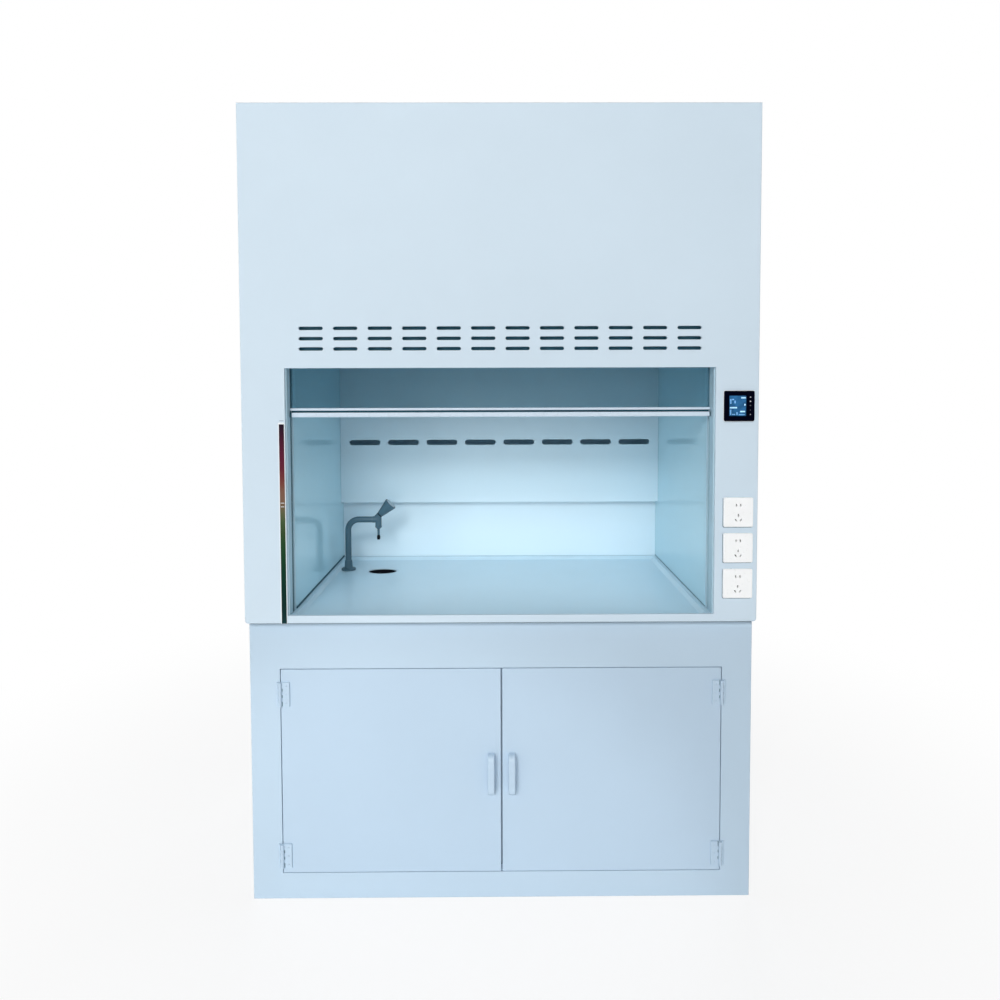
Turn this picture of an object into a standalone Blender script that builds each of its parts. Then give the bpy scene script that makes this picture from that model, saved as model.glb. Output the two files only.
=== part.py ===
"""Walk-up bench fume hood in welded polypropylene sheet.

One named object per physical piece, in metres, +Z up, front towards -Y.
The origin is on the floor, midway across the width and the depth.
Moving bodies hang from empties that stand on their joints.
"""
from math import acos, asin, cos, pi, radians, sin, tan

import bmesh
import bpy
import numpy as np
from mathutils import Matrix, Vector
from mathutils.geometry import tessellate_polygon

# ---------------------------------------------------------------- driving dimensions
WIDTH = 1.500            # outside width of the upper cabinet
HEIGHT = 2.350           # floor to roof
DEPTH = 0.850            # front sheet to back sheet
SHEET = 0.008            # polypropylene sheet of the casing
GAP = 0.0003             # clearance between pieces that touch
BENCH = 0.850            # height where the upper cabinet starts

OUT = WIDTH / 2
FRONT = -DEPTH / 2
BACK = DEPTH / 2
INSIDE_X = OUT - SHEET - GAP
INSIDE_FRONT = FRONT + SHEET + GAP
INSIDE_BACK = BACK - SHEET - GAP
ROOF_UNDER = HEIGHT - SHEET

WORK_Z = 0.862           # working surface
ON_WORK_Z = WORK_Z + GAP   # underside of what stands on it
CURB_Z = 0.872           # raised border round the working surface
WALL_IN = 0.620          # chamber side of the inner side liners
WALL_OUT = WALL_IN + SHEET
CEIL_Z = 1.990           # underside of the chamber ceiling
BAFFLE_LOW_Y = 0.310     # front face of the lower baffle

SASH_Y = -0.370          # middle plane of the glass
SASH_LOW = 1.4528        # underside of the handle rail
SASH_TOP = 2.1850        # top of the sash

DUCT_R, DUCT_WALL, DUCT_Y, DUCT_TOP = 0.125, 0.005, 0.200, 2.450

CUP_X, CUP_Y, CUP_RX, CUP_RY = -0.431, 0.128, 0.050, 0.030
TAP_X, TAP_Y = -0.5665, 0.142

LOOM_CROSS_Y, LOOM_CROSS_Z = -0.280, 2.230   # where the loom passes the right liner

SIDES = (("left", -1), ("right", 1))

# ---------------------------------------------------------------- materials
PP = dict(colour=(0.86, 0.91, 0.95), roughness=0.38)          # pale blue-white sheet
PP_INNER = dict(colour=(0.84, 0.90, 0.94), roughness=0.30)
PP_MOULD = dict(colour=(0.84, 0.89, 0.94), roughness=0.42)
TAP_GREY = dict(colour=(0.25, 0.36, 0.42), roughness=0.40)
TAP_BLACK = dict(colour=(0.03, 0.04, 0.05), roughness=0.45)
SOCKET = dict(colour=(0.94, 0.95, 0.95), roughness=0.30)
BLACK = dict(colour=(0.03, 0.04, 0.06), roughness=0.20)
STRIP = dict(colour=(0.45, 0.25, 0.25), roughness=0.35)
STEEL = dict(colour=(0.62, 0.64, 0.66), roughness=0.35, metallic=1.0)
IRON = dict(colour=(0.22, 0.23, 0.25), roughness=0.60, metallic=0.6)
ALU = dict(colour=(0.85, 0.87, 0.90), roughness=0.32, metallic=0.9)
GLASS = dict(colour=(0.80, 0.90, 0.93), roughness=0.03, alpha=0.35)
GALV = dict(colour=(0.70, 0.72, 0.74), roughness=0.45, metallic=0.9)
OPAL = dict(colour=(0.95, 0.96, 0.97), roughness=0.25, alpha=0.6)
NYLON = dict(colour=(0.85, 0.85, 0.83), roughness=0.45)
HOSE = dict(colour=(0.55, 0.58, 0.60), roughness=0.45)


def linear(colour):
    """sRGB to linear light."""
    return tuple(v / 12.92 if v <= 0.04045 else ((v + 0.055) / 1.055) ** 2.4 for v in colour)


def make_material(name, colour, roughness, metallic=0.0, alpha=1.0):
    """A Principled material made for one object."""
    mat = bpy.data.materials.new(name + "_material")
    mat.use_nodes = True
    inputs = mat.node_tree.nodes["Principled BSDF"].inputs
    inputs["Base Color"].default_value = (*linear(colour), 1.0)
    inputs["Roughness"].default_value = roughness
    inputs["Metallic"].default_value = metallic
    inputs["Alpha"].default_value = alpha
    mat.diffuse_color = (*linear(colour), alpha)
    return mat


# ---------------------------------------------------------------- objects
PIVOTS = {}


def clear_scene():
    for obj in list(bpy.data.objects):
        bpy.data.objects.remove(obj, do_unlink=True)


def add_pivot(name, where):
    """The parent empty of a moving body, on its joint's axis."""
    empty = bpy.data.objects.new("pivot_" + name, None)
    empty.empty_display_size = 0.05
    empty.location = where
    bpy.context.scene.collection.objects.link(empty)
    PIVOTS[name] = empty


def link_mesh(name, bm):
    bmesh.ops.recalc_face_normals(bm, faces=bm.faces[:])
    mesh = bpy.data.meshes.new(name)
    bm.to_mesh(mesh)
    bm.free()
    obj = bpy.data.objects.new(name, mesh)
    bpy.context.scene.collection.objects.link(obj)
    return obj


def add_piece(name, bm, look, body=None, smooth=None):
    """A mesh in world positions becomes a piece, hung from the pivot of its moving body.

    smooth is the angle in degrees beyond which an edge stays sharp.
    """
    if body:
        bmesh.ops.translate(bm, vec=-PIVOTS[body].location, verts=bm.verts[:])
    obj = link_mesh(name, bm)
    if smooth is not None:
        obj.data.shade_smooth()
        obj.data.set_sharp_from_angle(angle=radians(smooth))
    obj.data.materials.append(make_material(name, **look))
    if body:
        obj.parent = PIVOTS[body]
    return obj


def combine(target, operation, name, bm):
    """Cuts or joins a helper mesh, given in world positions. The helper isn't rendered."""
    helper = link_mesh(name, bm)
    helper.hide_render = True
    helper.display_type = "WIRE"
    modifier = target.modifiers.new(operation.lower() + "_" + name, "BOOLEAN")
    modifier.operation = operation
    modifier.solver = "EXACT"
    modifier.object = helper
    if target.parent:
        helper.parent = target.parent
        helper.location = -target.parent.location


# ---------------------------------------------------------------- flat outlines
AXES = {
    "x": lambda point, at: (at, point[0], point[1]),     # an outline in (y, z)
    "y": lambda point, at: (point[0], at, point[1]),     # an outline in (x, z)
    "z": lambda point, at: (point[0], point[1], at),     # an outline in (x, y)
}


def laid(outline, axis, at):
    """Puts a flat outline in space, square to an axis."""
    return [AXES[axis](point, at) for point in outline]


def rectangle(u0, u1, v0, v1):
    return [(u0, v0), (u1, v0), (u1, v1), (u0, v1)]


def square(u, v, half):
    return rectangle(u - half, u + half, v - half, v + half)


def ellipse(u, v, ru, rv, count):
    angles = [2 * pi * i / count for i in range(count)]
    return [(u + ru * cos(a), v + rv * sin(a)) for a in angles]


def circle(u, v, radius, count):
    return ellipse(u, v, radius, radius, count)


def arc(u, v, radius, start, end, steps=4):
    angles = np.linspace(start, end, steps + 1)
    return [(u + radius * cos(a), v + radius * sin(a)) for a in angles]


def slot(u, v, length, height):
    """A level slot with round ends."""
    radius = height / 2
    reach = length / 2 - radius
    return (arc(u + reach, v, radius, -pi / 2, pi / 2)
            + arc(u - reach, v, radius, pi / 2, 3 * pi / 2))


def spread(count, pitch):
    """Places at a pitch, centred on zero."""
    return [(i - (count - 1) / 2) * pitch for i in range(count)]


# ---------------------------------------------------------------- solids
def box(low, high):
    bm = bmesh.new()
    verts = [bm.verts.new((x, y, z))
             for x in (low[0], high[0]) for y in (low[1], high[1]) for z in (low[2], high[2])]
    for face in ((0, 1, 3, 2), (4, 6, 7, 5), (0, 4, 5, 1), (2, 3, 7, 6), (0, 2, 6, 4), (1, 5, 7, 3)):
        bm.faces.new([verts[i] for i in face])
    return bm


def join_rings(bm, first, second):
    """The band of faces between two rings of vertices."""
    for i in range(len(first)):
        j = (i + 1) % len(first)
        bm.faces.new([first[i], first[j], second[j], second[i]])


def triangles(loops):
    """Fills an outline with holes; the indices run through all the loops in order."""
    return tessellate_polygon([[Vector((u, v, 0)) for u, v in loop] for loop in loops])


def prism(loops, axis, start, end, bm=None):
    """A plate: an outline and any holes in it, pulled straight along an axis."""
    bm = bm or bmesh.new()
    near, far = [[[bm.verts.new(p) for p in laid(loop, axis, at)] for loop in loops]
                 for at in (start, end)]
    all_near, all_far = sum(near, []), sum(far, [])
    for triangle in triangles(loops):
        bm.faces.new([all_near[i] for i in triangle])
        bm.faces.new([all_far[i] for i in reversed(triangle)])
    for near_ring, far_ring in zip(near, far):
        join_rings(bm, near_ring, far_ring)
    return bm


def skin(rings, bm=None, around=False):
    """Joins rings of equal count into a solid; with around, the last ring meets the first."""
    bm = bm or bmesh.new()
    verts = [[bm.verts.new(p) for p in ring] for ring in rings]
    for first, second in zip(verts, verts[1:]):
        join_rings(bm, first, second)
    if around:
        join_rings(bm, verts[-1], verts[0])
    else:
        bm.faces.new(verts[0][::-1])
        bm.faces.new(verts[-1])
    return bm


def lathe(profile, count, where=(0, 0, 0), direction=(0, 0, 1), around=False):
    """Turns (radius, height) points about an axis."""
    turn = Vector((0, 0, 1)).rotation_difference(Vector(direction).normalized())
    rings = [[Vector(where) + turn @ Vector(p) for p in laid(circle(0, 0, radius, count), "z", height)]
             for radius, height in profile]
    return skin(rings, around=around)


def path_rings(points, radius, count):
    """Circles carried along a path without twist."""
    points = [Vector(p) for p in points]
    rings = []
    up = None
    for i, point in enumerate(points):
        ahead = (points[min(i + 1, len(points) - 1)] - points[max(i - 1, 0)]).normalized()
        if up is None:
            up = Vector((0, 0, 1)) if abs(ahead.z) < 0.9 else Vector((1, 0, 0))
        up = (up - ahead * up.dot(ahead)).normalized()
        side = ahead.cross(up)
        rings.append([point + up * u + side * v for u, v in circle(0, 0, radius, count)])
    return rings


def tube(points, outer_r, count, inner_r=None):
    """A rod along a path, or a hollow tube when it has an inner radius."""
    outer = path_rings(points, outer_r, count)
    if inner_r is None:
        return skin(outer)
    return skin(outer + path_rings(points, inner_r, count)[::-1], around=True)


def bend(before, corner, after, radius, steps):
    """Points of a rounded corner."""
    before, corner, after = Vector(before), Vector(corner), Vector(after)
    back, ahead = (before - corner).normalized(), (after - corner).normalized()
    half = acos(max(-1, min(1, back.dot(ahead)))) / 2
    reach = radius / tan(half)
    centre = corner + (back + ahead).normalized() * (radius / sin(half))
    start, end = corner + back * reach - centre, corner + ahead * reach - centre
    total = start.angle(end)
    axis = start.cross(end).normalized()
    return [centre + Matrix.Rotation(total * i / steps, 3, axis) @ start for i in range(steps + 1)]


def round_path(points, radius, steps):
    path = [Vector(points[0])]
    for before, corner, after in zip(points, points[1:], points[2:]):
        path += bend(before, corner, after, radius, steps)
    return path + [Vector(points[-1])]


# ---------------------------------------------------------------- fittings on the right post
POST_X = 0.6905          # middle of the column of fittings
CASE_PLAY = 0.001        # between a fitting's case and its cutout
# proud: of the front sheet; case: width behind it; depth: of the case
DISPLAY = dict(face=0.088, proud=0.0070, case=0.0780, depth=0.040, chamfer=0.0010)
OUTLET = dict(face=0.086, proud=0.0080, case=0.0660, depth=0.048, chamfer=0.0015)
# name, height of the middle, sizes, look
FITTINGS = (
    ("display_controller", 1.4836, DISPLAY, BLACK),
    ("socket_upper", 1.1744, OUTLET, SOCKET),
    ("socket_middle", 1.0700, OUTLET, SOCKET),
    ("socket_lower", 0.9651, OUTLET, SOCKET),
)
STRIP_X0, STRIP_X1, STRIP_TOP, STRIP_T = -0.6410, -0.6265, 1.4345, 0.0015


def fitting(mid_z, face, proud, case, depth, chamfer):
    """A cover plate proud of the sheet, with a smaller case behind it."""
    back_y = FRONT - GAP
    stations = (                                 # half width, y
        (face / 2 - chamfer, back_y - proud),
        (face / 2, back_y - proud + chamfer),
        (face / 2, back_y),
        (case / 2, back_y),
        (case / 2, back_y + depth),
    )
    return skin([laid(square(POST_X, mid_z, half), "y", y) for half, y in stations])


def build_fittings():
    for name, mid_z, sizes, look in FITTINGS:
        add_piece(name, fitting(mid_z, **sizes), look)
    # the strip is on the left post
    add_piece("sash_height_strip", box((STRIP_X0, FRONT - GAP - STRIP_T, BENCH),
                                       (STRIP_X1, FRONT - GAP, STRIP_TOP)), STRIP)


# ---------------------------------------------------------------- casing
OPEN_HALF = 0.6235       # half width of the opening in the front sheet
OPEN_LOW = 0.8737        # top of the sill strip
OPEN_HIGH = 1.5960       # underside of the header
VENT_COLUMNS, VENT_ROWS = 12, 3
VENT_PITCH, VENT_ROW_PITCH = 0.0993, 0.0295
VENT_LENGTH, VENT_HEIGHT = 0.070, 0.010
VENT_MID_Z = 1.6810
FLANGE = 0.030           # width of the collar's flange beyond the duct


def build_fascia():
    vents = [slot(x, VENT_MID_Z + z, VENT_LENGTH, VENT_HEIGHT)
             for x in spread(VENT_COLUMNS, VENT_PITCH) for z in spread(VENT_ROWS, VENT_ROW_PITCH)]
    cutouts = [square(POST_X, z, sizes["case"] / 2 + CASE_PLAY) for _, z, sizes, _ in FITTINGS]
    sheet = rectangle(-OUT, OUT, BENCH, HEIGHT)
    opening = rectangle(-OPEN_HALF, OPEN_HALF, OPEN_LOW, OPEN_HIGH)
    add_piece("front_fascia",
              prism([sheet, opening] + vents + cutouts, "y", FRONT, FRONT + SHEET), PP)


def build_casing():
    build_fascia()
    for side, sign in SIDES:
        add_piece(side + "_outer_side", box((sign * (OUT - SHEET), INSIDE_FRONT, BENCH),
                                            (sign * OUT, INSIDE_BACK, HEIGHT)), PP)
    add_piece("hood_back_panel", box((-OUT, BACK - SHEET, BENCH), (OUT, BACK, HEIGHT)), PP)
    bore = DUCT_R - DUCT_WALL
    roof = rectangle(-INSIDE_X, INSIDE_X, INSIDE_FRONT, INSIDE_BACK)
    add_piece("hood_roof",
              prism([roof, circle(0, DUCT_Y, bore, 40)], "z", ROOF_UNDER, HEIGHT), PP)
    z = HEIGHT + GAP
    collar = [(bore, z), (DUCT_R + FLANGE, z), (DUCT_R + FLANGE, z + SHEET),
              (DUCT_R, z + SHEET), (DUCT_R, DUCT_TOP), (bore, DUCT_TOP)]
    add_piece("exhaust_collar", lathe(collar, 40, (0, DUCT_Y, 0), around=True), PP, smooth=30)


# ---------------------------------------------------------------- working surface, cup and drain
CURB = 0.026             # width of the border at the sides and back
SILL = 0.012             # width of the border at the front
TAP_HOLE_R = 0.0125
CUTTER_RISE = 0.004      # the pocket's cutter goes on above the border
DRAIN_Z, DRAIN_R, DRAIN_BORE = 0.715, 0.018, 0.0155
TRAP_LOW_Z, TRAP_OUT_Z, TRAP_REACH = 0.560, 0.650, 0.080


def build_worktop():
    slab = add_piece("worktop", box((-INSIDE_X, INSIDE_FRONT, BENCH),
                                    (INSIDE_X, INSIDE_BACK, CURB_Z)), PP_INNER)
    half, front, back = WALL_IN - CURB, INSIDE_FRONT + SILL, BAFFLE_LOW_Y - CURB
    rise = CURB_Z - WORK_Z
    flare = rise + CUTTER_RISE
    floor = rectangle(-half, half, front, back)
    rim = rectangle(-half - flare, half + flare, front - rise * 0.5 - CUTTER_RISE, back + flare)
    pocket = skin([laid(floor, "z", WORK_Z), laid(rim, "z", CURB_Z + CUTTER_RISE)])
    combine(slab, "DIFFERENCE", "cut_work_pocket", pocket)
    holes = bmesh.new()
    for outline in (ellipse(CUP_X, CUP_Y, CUP_RX + GAP, CUP_RY + GAP, 32),
                    circle(TAP_X, TAP_Y, TAP_HOLE_R, 16)):
        skin([laid(outline, "z", z) for z in (BENCH - 0.01, CURB_Z + 0.01)], holes)
    combine(slab, "DIFFERENCE", "cut_cup_and_tap_holes", holes)


def build_cup():
    """The oval cup, its round tail and the lip that rests on the working surface."""
    def inset(amount, z):
        return CUP_RX - amount, CUP_RY - amount, z

    lip_top = ON_WORK_Z + 0.0016
    stations = [                                 # x radius, y radius, z
        (DRAIN_R, DRAIN_R, DRAIN_Z), (DRAIN_R, DRAIN_R, 0.755),
        inset(0.003, 0.785), inset(0.001, ON_WORK_Z),
        inset(-0.005, ON_WORK_Z), inset(-0.004, lip_top),
        inset(0.003, lip_top), inset(0.006, 0.788),
        (DRAIN_BORE, DRAIN_BORE, 0.757), (DRAIN_BORE, DRAIN_BORE, DRAIN_Z),
    ]
    rings = [laid(ellipse(CUP_X, CUP_Y, rx, ry, 28), "z", z) for rx, ry, z in stations]
    add_piece("cup_sink", skin(rings, around=True), PP_MOULD, smooth=40)


def build_trap():
    outlet_y = CUP_Y + TRAP_REACH
    path = [(CUP_X, CUP_Y, DRAIN_Z - GAP), (CUP_X, CUP_Y, TRAP_LOW_Z),
            (CUP_X, outlet_y, TRAP_LOW_Z), (CUP_X, outlet_y, TRAP_OUT_Z),
            (CUP_X, INSIDE_BACK - 0.0004, TRAP_OUT_Z)]
    add_piece("sink_trap", tube(round_path(path, radius=0.038, steps=5), 0.0185, 12, 0.0150),
              HOSE, smooth=50)


# ---------------------------------------------------------------- chamber lining
LINER_FRONT = -0.3497    # front edge of the liners and the ceiling
LINER_GAP = 0.003        # open joint under the side liners
LOOM_HOLE_R = 0.011
PLENUM_Y = 0.050         # front face of the plenum wall
LINING_X = WALL_IN - GAP
BAFFLE_Y = 0.268         # front face of the upper baffle
BAFFLE_T = 0.005
BAFFLE_STEP_Z = 1.094    # lower edge of the upper baffle
BAFFLE_LAP = 0.026       # rise of the lower baffle behind it
BAFFLE_BEND_Z = 1.700
BAFFLE_SLOTS, BAFFLE_SLOT_PITCH = 8, 0.150
BAFFLE_SLOT_L, BAFFLE_SLOT_H, BAFFLE_SLOT_Z = 0.120, 0.020, 1.329
LAMP_X, LAMP_Y0, LAMP_Y1 = 0.450, -0.310, -0.190     # window under the lamp
LAMP_TOP, LAMP_WALL = 2.060, 0.002
LAMP_LAP, DIFFUSER_LAP = 0.020, 0.010                # reach beyond the window
DIFFUSER_T = 0.005


def build_liners():
    outline = rectangle(LINER_FRONT, INSIDE_BACK, CURB_Z + LINER_GAP, ROOF_UNDER - GAP)
    loom_hole = circle(LOOM_CROSS_Y, LOOM_CROSS_Z, LOOM_HOLE_R, 16)
    for side, sign in SIDES:
        loops = [outline, loom_hole] if side == "right" else [outline]
        add_piece(side + "_inner_liner",
                  prism(loops, "x", sign * WALL_IN, sign * WALL_OUT), PP_INNER)


def lamp_box(margin, z0, z1):
    """A box over the lamp window, wider by a margin all round."""
    return box((-LAMP_X - margin, LAMP_Y0 - margin, z0), (LAMP_X + margin, LAMP_Y1 + margin, z1))


def build_ceiling():
    """The ceiling and the plenum wall that rises from its back edge, as one angle."""
    section = [(LINER_FRONT, CEIL_Z), (PLENUM_Y + SHEET, CEIL_Z),
               (PLENUM_Y + SHEET, ROOF_UNDER - GAP), (PLENUM_Y, ROOF_UNDER - GAP),
               (PLENUM_Y, CEIL_Z + SHEET), (LINER_FRONT, CEIL_Z + SHEET)]
    ceiling = add_piece("chamber_ceiling", prism([section], "x", -LINING_X, LINING_X), PP_INNER)
    combine(ceiling, "DIFFERENCE", "cut_lamp_window", lamp_box(0, CEIL_Z - 0.01, CEIL_Z + 0.02))


def build_baffles():
    top_y, top_z = PLENUM_Y + SHEET + 0.030, CEIL_Z - GAP - 0.004
    slope = Vector((top_y - BAFFLE_Y, top_z - BAFFLE_BEND_Z)).normalized()
    back_y, back_z = Vector((slope.y, -slope.x)) * BAFFLE_T
    section = [(BAFFLE_Y, BAFFLE_STEP_Z), (BAFFLE_Y + BAFFLE_T, BAFFLE_STEP_Z),
               (BAFFLE_Y + BAFFLE_T, BAFFLE_BEND_Z + 0.0016), (top_y + back_y, top_z + back_z),
               (top_y, top_z), (BAFFLE_Y, BAFFLE_BEND_Z)]
    upper = add_piece("upper_baffle", prism([section], "x", -LINING_X, LINING_X), PP_INNER)
    slots = bmesh.new()
    for x in spread(BAFFLE_SLOTS, BAFFLE_SLOT_PITCH):
        prism([slot(x, BAFFLE_SLOT_Z, BAFFLE_SLOT_L, BAFFLE_SLOT_H)], "y",
              BAFFLE_Y - 0.01, BAFFLE_Y + 0.02, slots)
    combine(upper, "DIFFERENCE", "cut_baffle_slots", slots)
    add_piece("lower_baffle",
              box((-LINING_X, BAFFLE_LOW_Y, CURB_Z + GAP),
                  (LINING_X, BAFFLE_LOW_Y + BAFFLE_T, BAFFLE_STEP_Z + BAFFLE_LAP)), PP_INNER)


def build_lamp():
    housing = add_piece("lamp_housing", lamp_box(LAMP_LAP, CEIL_Z + SHEET + GAP, LAMP_TOP), GALV)
    combine(housing, "DIFFERENCE", "cut_lamp_housing",
            lamp_box(LAMP_LAP - LAMP_WALL, CEIL_Z, LAMP_TOP - LAMP_WALL))
    under = CEIL_Z - GAP
    add_piece("lamp_diffuser", lamp_box(DIFFUSER_LAP, under - DIFFUSER_T, under), OPAL)


def build_loom():
    """From behind the lower socket, up the right post and over to the lamp."""
    x, y = 0.700, -0.3708
    lamp_x, lamp_y = 0.420, -0.250
    path = [(x, y, 0.935), (x, y, 2.170), (x, LOOM_CROSS_Y, LOOM_CROSS_Z),
            (0.560, LOOM_CROSS_Y, LOOM_CROSS_Z), (lamp_x, lamp_y, 2.150),
            (lamp_x, lamp_y, LAMP_TOP + GAP)]
    add_piece("wiring_loom", tube(round_path(path, radius=0.020, steps=4), 0.0050, 8),
              BLACK, smooth=60)


# ---------------------------------------------------------------- sash and its guides
TRACK_X, TRACK_Y0, TRACK_Y1, TRACK_TOP = 0.648, -0.4165, -0.3500, 2.250
GROOVE_X, GROOVE_HALF = 0.6445, 0.0055
GLASS_T, GLASS_X = 0.005, 0.6395
RAIL_X, TOP_RAIL_X = 0.6185, 0.6405
# y from the middle of the glass, z from the sash's underside
HANDLE_RAIL = [
    (0.0075, 0.0), (-0.0220, 0.0), (-0.0220, 0.0137), (-0.0100, 0.0137),
    (-0.0100, 0.0197), (-0.0200, 0.0197), (-0.0200, 0.0267), (-0.0030, 0.0267),
    (-0.0030, 0.0100), (0.0030, 0.0100), (0.0030, 0.0267), (0.0075, 0.0267),
]
# y from the middle of the glass, z from the sash's top
TOP_RAIL = [
    (-0.0048, -0.020), (-0.0048, 0.0), (0.0048, 0.0), (0.0048, -0.020),
    (0.0030, -0.020), (0.0030, -0.005), (-0.0030, -0.005), (-0.0030, -0.020),
]


def build_tracks():
    """A grooved strip at each end of the sash; the groove opens towards the middle."""
    groove_y0, groove_y1 = SASH_Y - GROOVE_HALF, SASH_Y + GROOVE_HALF
    section = [(WALL_IN, TRACK_Y0), (TRACK_X, TRACK_Y0), (TRACK_X, TRACK_Y1), (WALL_IN, TRACK_Y1),
               (WALL_IN, groove_y1), (GROOVE_X, groove_y1),
               (GROOVE_X, groove_y0), (WALL_IN, groove_y0)]
    for side, sign in SIDES:
        outline = [(sign * x, y) for x, y in section]
        add_piece(side + "_sash_track", prism([outline], "z", CURB_Z + GAP, TRACK_TOP), PP)


def sash_rail(section, z, half):
    return prism([[(SASH_Y + dy, z + dz) for dy, dz in section]], "x", -half, half)


def build_sash():
    add_pivot("sash", (0, SASH_Y, SASH_LOW))
    add_piece("sash_handle_rail", sash_rail(HANDLE_RAIL, SASH_LOW, RAIL_X), PP, body="sash")
    pane = box((-GLASS_X, SASH_Y - GLASS_T / 2, SASH_LOW + 0.0105),
               (GLASS_X, SASH_Y + GLASS_T / 2, SASH_TOP - 0.0055))
    add_piece("sash_glass", pane, GLASS, body="sash")
    add_piece("sash_top_rail", sash_rail(TOP_RAIL, SASH_TOP, TOP_RAIL_X), ALU, body="sash")


# ---------------------------------------------------------------- cables, pulleys and weights
PULLEY_R = 0.026         # radius of the cable's centre line on a pulley
PULLEY_Z = 2.300
CABLE_R, CABLE_END_GAP = 0.0015, 0.0005
CABLE_FRONT = Vector((0.636, SASH_Y))    # (x, y) of the right cable's drop to the sash
CABLE_REAR = Vector((0.690, -0.020))     # and of its drop to the weight
CABLE_SPAN = (CABLE_REAR - CABLE_FRONT).length
PULLEYS = (("front", PULLEY_R), ("rear", CABLE_SPAN - PULLEY_R))     # place along the span
BEAM_NEAR, BEAM_FAR = 0.0045, 0.0075     # the beam's faces, outward of the cable
BEAM_LOW, BEAM_END = 2.280, 0.010        # underside, and reach beyond the span
PIN_HALF_R, PIN_IN, PIN_SUNK = 0.004, -0.0065, 0.0015
# radius, place along the axle
PULLEY_PROFILE = [
    (0.0045, -0.004), (0.0295, -0.004), (0.0295, -0.0028), (0.0240, -0.0021),
    (0.0240, 0.0021), (0.0295, 0.0028), (0.0295, 0.004), (0.0045, 0.004),
]
WEIGHT_W, WEIGHT_D, WEIGHT_H = 0.050, 0.080, 0.200
WEIGHT_LOW = 1.380
WEIGHT_TOP = WEIGHT_LOW + WEIGHT_H
WEIGHT_CHAMFER = 0.003


def build_beam(side, sign, at):
    """The strip the pulleys hang on, on their casing side, with their pins joined to it."""
    outline = rectangle(-BEAM_END, CABLE_SPAN + BEAM_END, BEAM_LOW, ROOF_UNDER - GAP)
    faces = [[at(along, sign * across, z) for along, z in outline]
             for across in (BEAM_NEAR, BEAM_FAR)]
    beam = add_piece(side + "_pulley_beam", skin(faces), STEEL)
    pins = bmesh.new()
    for _, centre in PULLEYS:
        skin([[at(along, sign * across, z)
               for along, z in circle(centre, PULLEY_Z, PIN_HALF_R, 12)]
              for across in (PIN_IN, BEAM_NEAR + PIN_SUNK)], pins)
    combine(beam, "UNION", side + "_pulley_pins", pins)


def build_cable(side, at):
    path = ([(0, SASH_TOP + CABLE_END_GAP)]
            + arc(PULLEY_R, PULLEY_Z, PULLEY_R, pi, pi / 2, 6)
            + arc(CABLE_SPAN - PULLEY_R, PULLEY_Z, PULLEY_R, pi / 2, 0, 6)
            + [(CABLE_SPAN, WEIGHT_TOP + CABLE_END_GAP)])
    points = [at(along, 0, z) for along, z in path]
    add_piece(side + "_cable", tube(points, CABLE_R, 6), STEEL, smooth=60)


def build_counterweight(side, x, y):
    name = side + "_counterweight"
    add_pivot(name, (x, y, WEIGHT_TOP))
    rings = []
    for inset, z in ((WEIGHT_CHAMFER, WEIGHT_LOW), (0, WEIGHT_LOW + WEIGHT_CHAMFER),
                     (0, WEIGHT_TOP - WEIGHT_CHAMFER), (WEIGHT_CHAMFER, WEIGHT_TOP)):
        half_w, half_d = WEIGHT_W / 2 - inset, WEIGHT_D / 2 - inset
        rings.append(laid(rectangle(x - half_w, x + half_w, y - half_d, y + half_d), "z", z))
    add_piece(name, skin(rings), IRON, body=name)


def build_suspension(side, sign):
    """One side's beam, pulleys, cable and weight, in the cable's upright plane."""
    start = Vector((sign * CABLE_FRONT.x, CABLE_FRONT.y))
    end = Vector((sign * CABLE_REAR.x, CABLE_REAR.y))
    run = (end - start).normalized()
    axle = Vector((run.y, -run.x))               # level, square to the plane, towards +X

    def at(along, across, z):
        return (*(start + run * along + axle * across), z)

    build_beam(side, sign, at)
    for which, centre in PULLEYS:
        name = f"{side}_{which}_pulley"
        where = at(centre, 0, PULLEY_Z)
        add_pivot(name, where)
        wheel = lathe(PULLEY_PROFILE, 20, where, (*axle, 0), around=True)
        add_piece(name, wheel, NYLON, body=name, smooth=30)
    build_cable(side, at)
    build_counterweight(side, *end)


# ---------------------------------------------------------------- base cabinet
BASE_OUT = 0.748         # half width of the base cabinet
BASE_FRONT = -0.395      # front face of the base cabinet
BASE_FRAME_T = 0.019
BASE_TOP = BENCH - GAP
FLOOR_LOW, FLOOR_TOP = 0.064, 0.072
RUNNER = 0.020           # thickness of the three runners under the floor
DOOR_T = 0.012
DOOR_EDGE = 0.657        # hinge side edge of a door
DOOR_MID = 0.0018        # half the gap between the doors
DOOR_Z0, DOOR_Z1 = 0.0815, 0.7020
DOOR_PLAY = 0.002        # round the doors in the frame's rebate
DOOR_LAP = 0.013         # width of the frame covered by a door
REBATE_T = DOOR_T + 0.001


def build_carcass():
    front = BASE_FRONT + BASE_FRAME_T + GAP
    for side, sign in SIDES:
        add_piece(f"base_{side}_side", box((sign * (BASE_OUT - SHEET), front, 0),
                                           (sign * BASE_OUT, INSIDE_BACK, BASE_TOP)), PP)
    add_piece("base_back", box((-BASE_OUT, BACK - SHEET, 0), (BASE_OUT, BACK, BASE_TOP)), PP)
    section = []
    for y in (front, -RUNNER / 2, INSIDE_BACK - RUNNER):
        section += [(y, FLOOR_LOW), (y, 0), (y + RUNNER, 0), (y + RUNNER, FLOOR_LOW)]
    section[-1] = (INSIDE_BACK, FLOOR_TOP)       # the back runner is flush with the floor's edge
    section.append((front, FLOOR_TOP))
    half = BASE_OUT - SHEET - GAP
    add_piece("base_floor", prism([section], "x", -half, half), PP)


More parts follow.
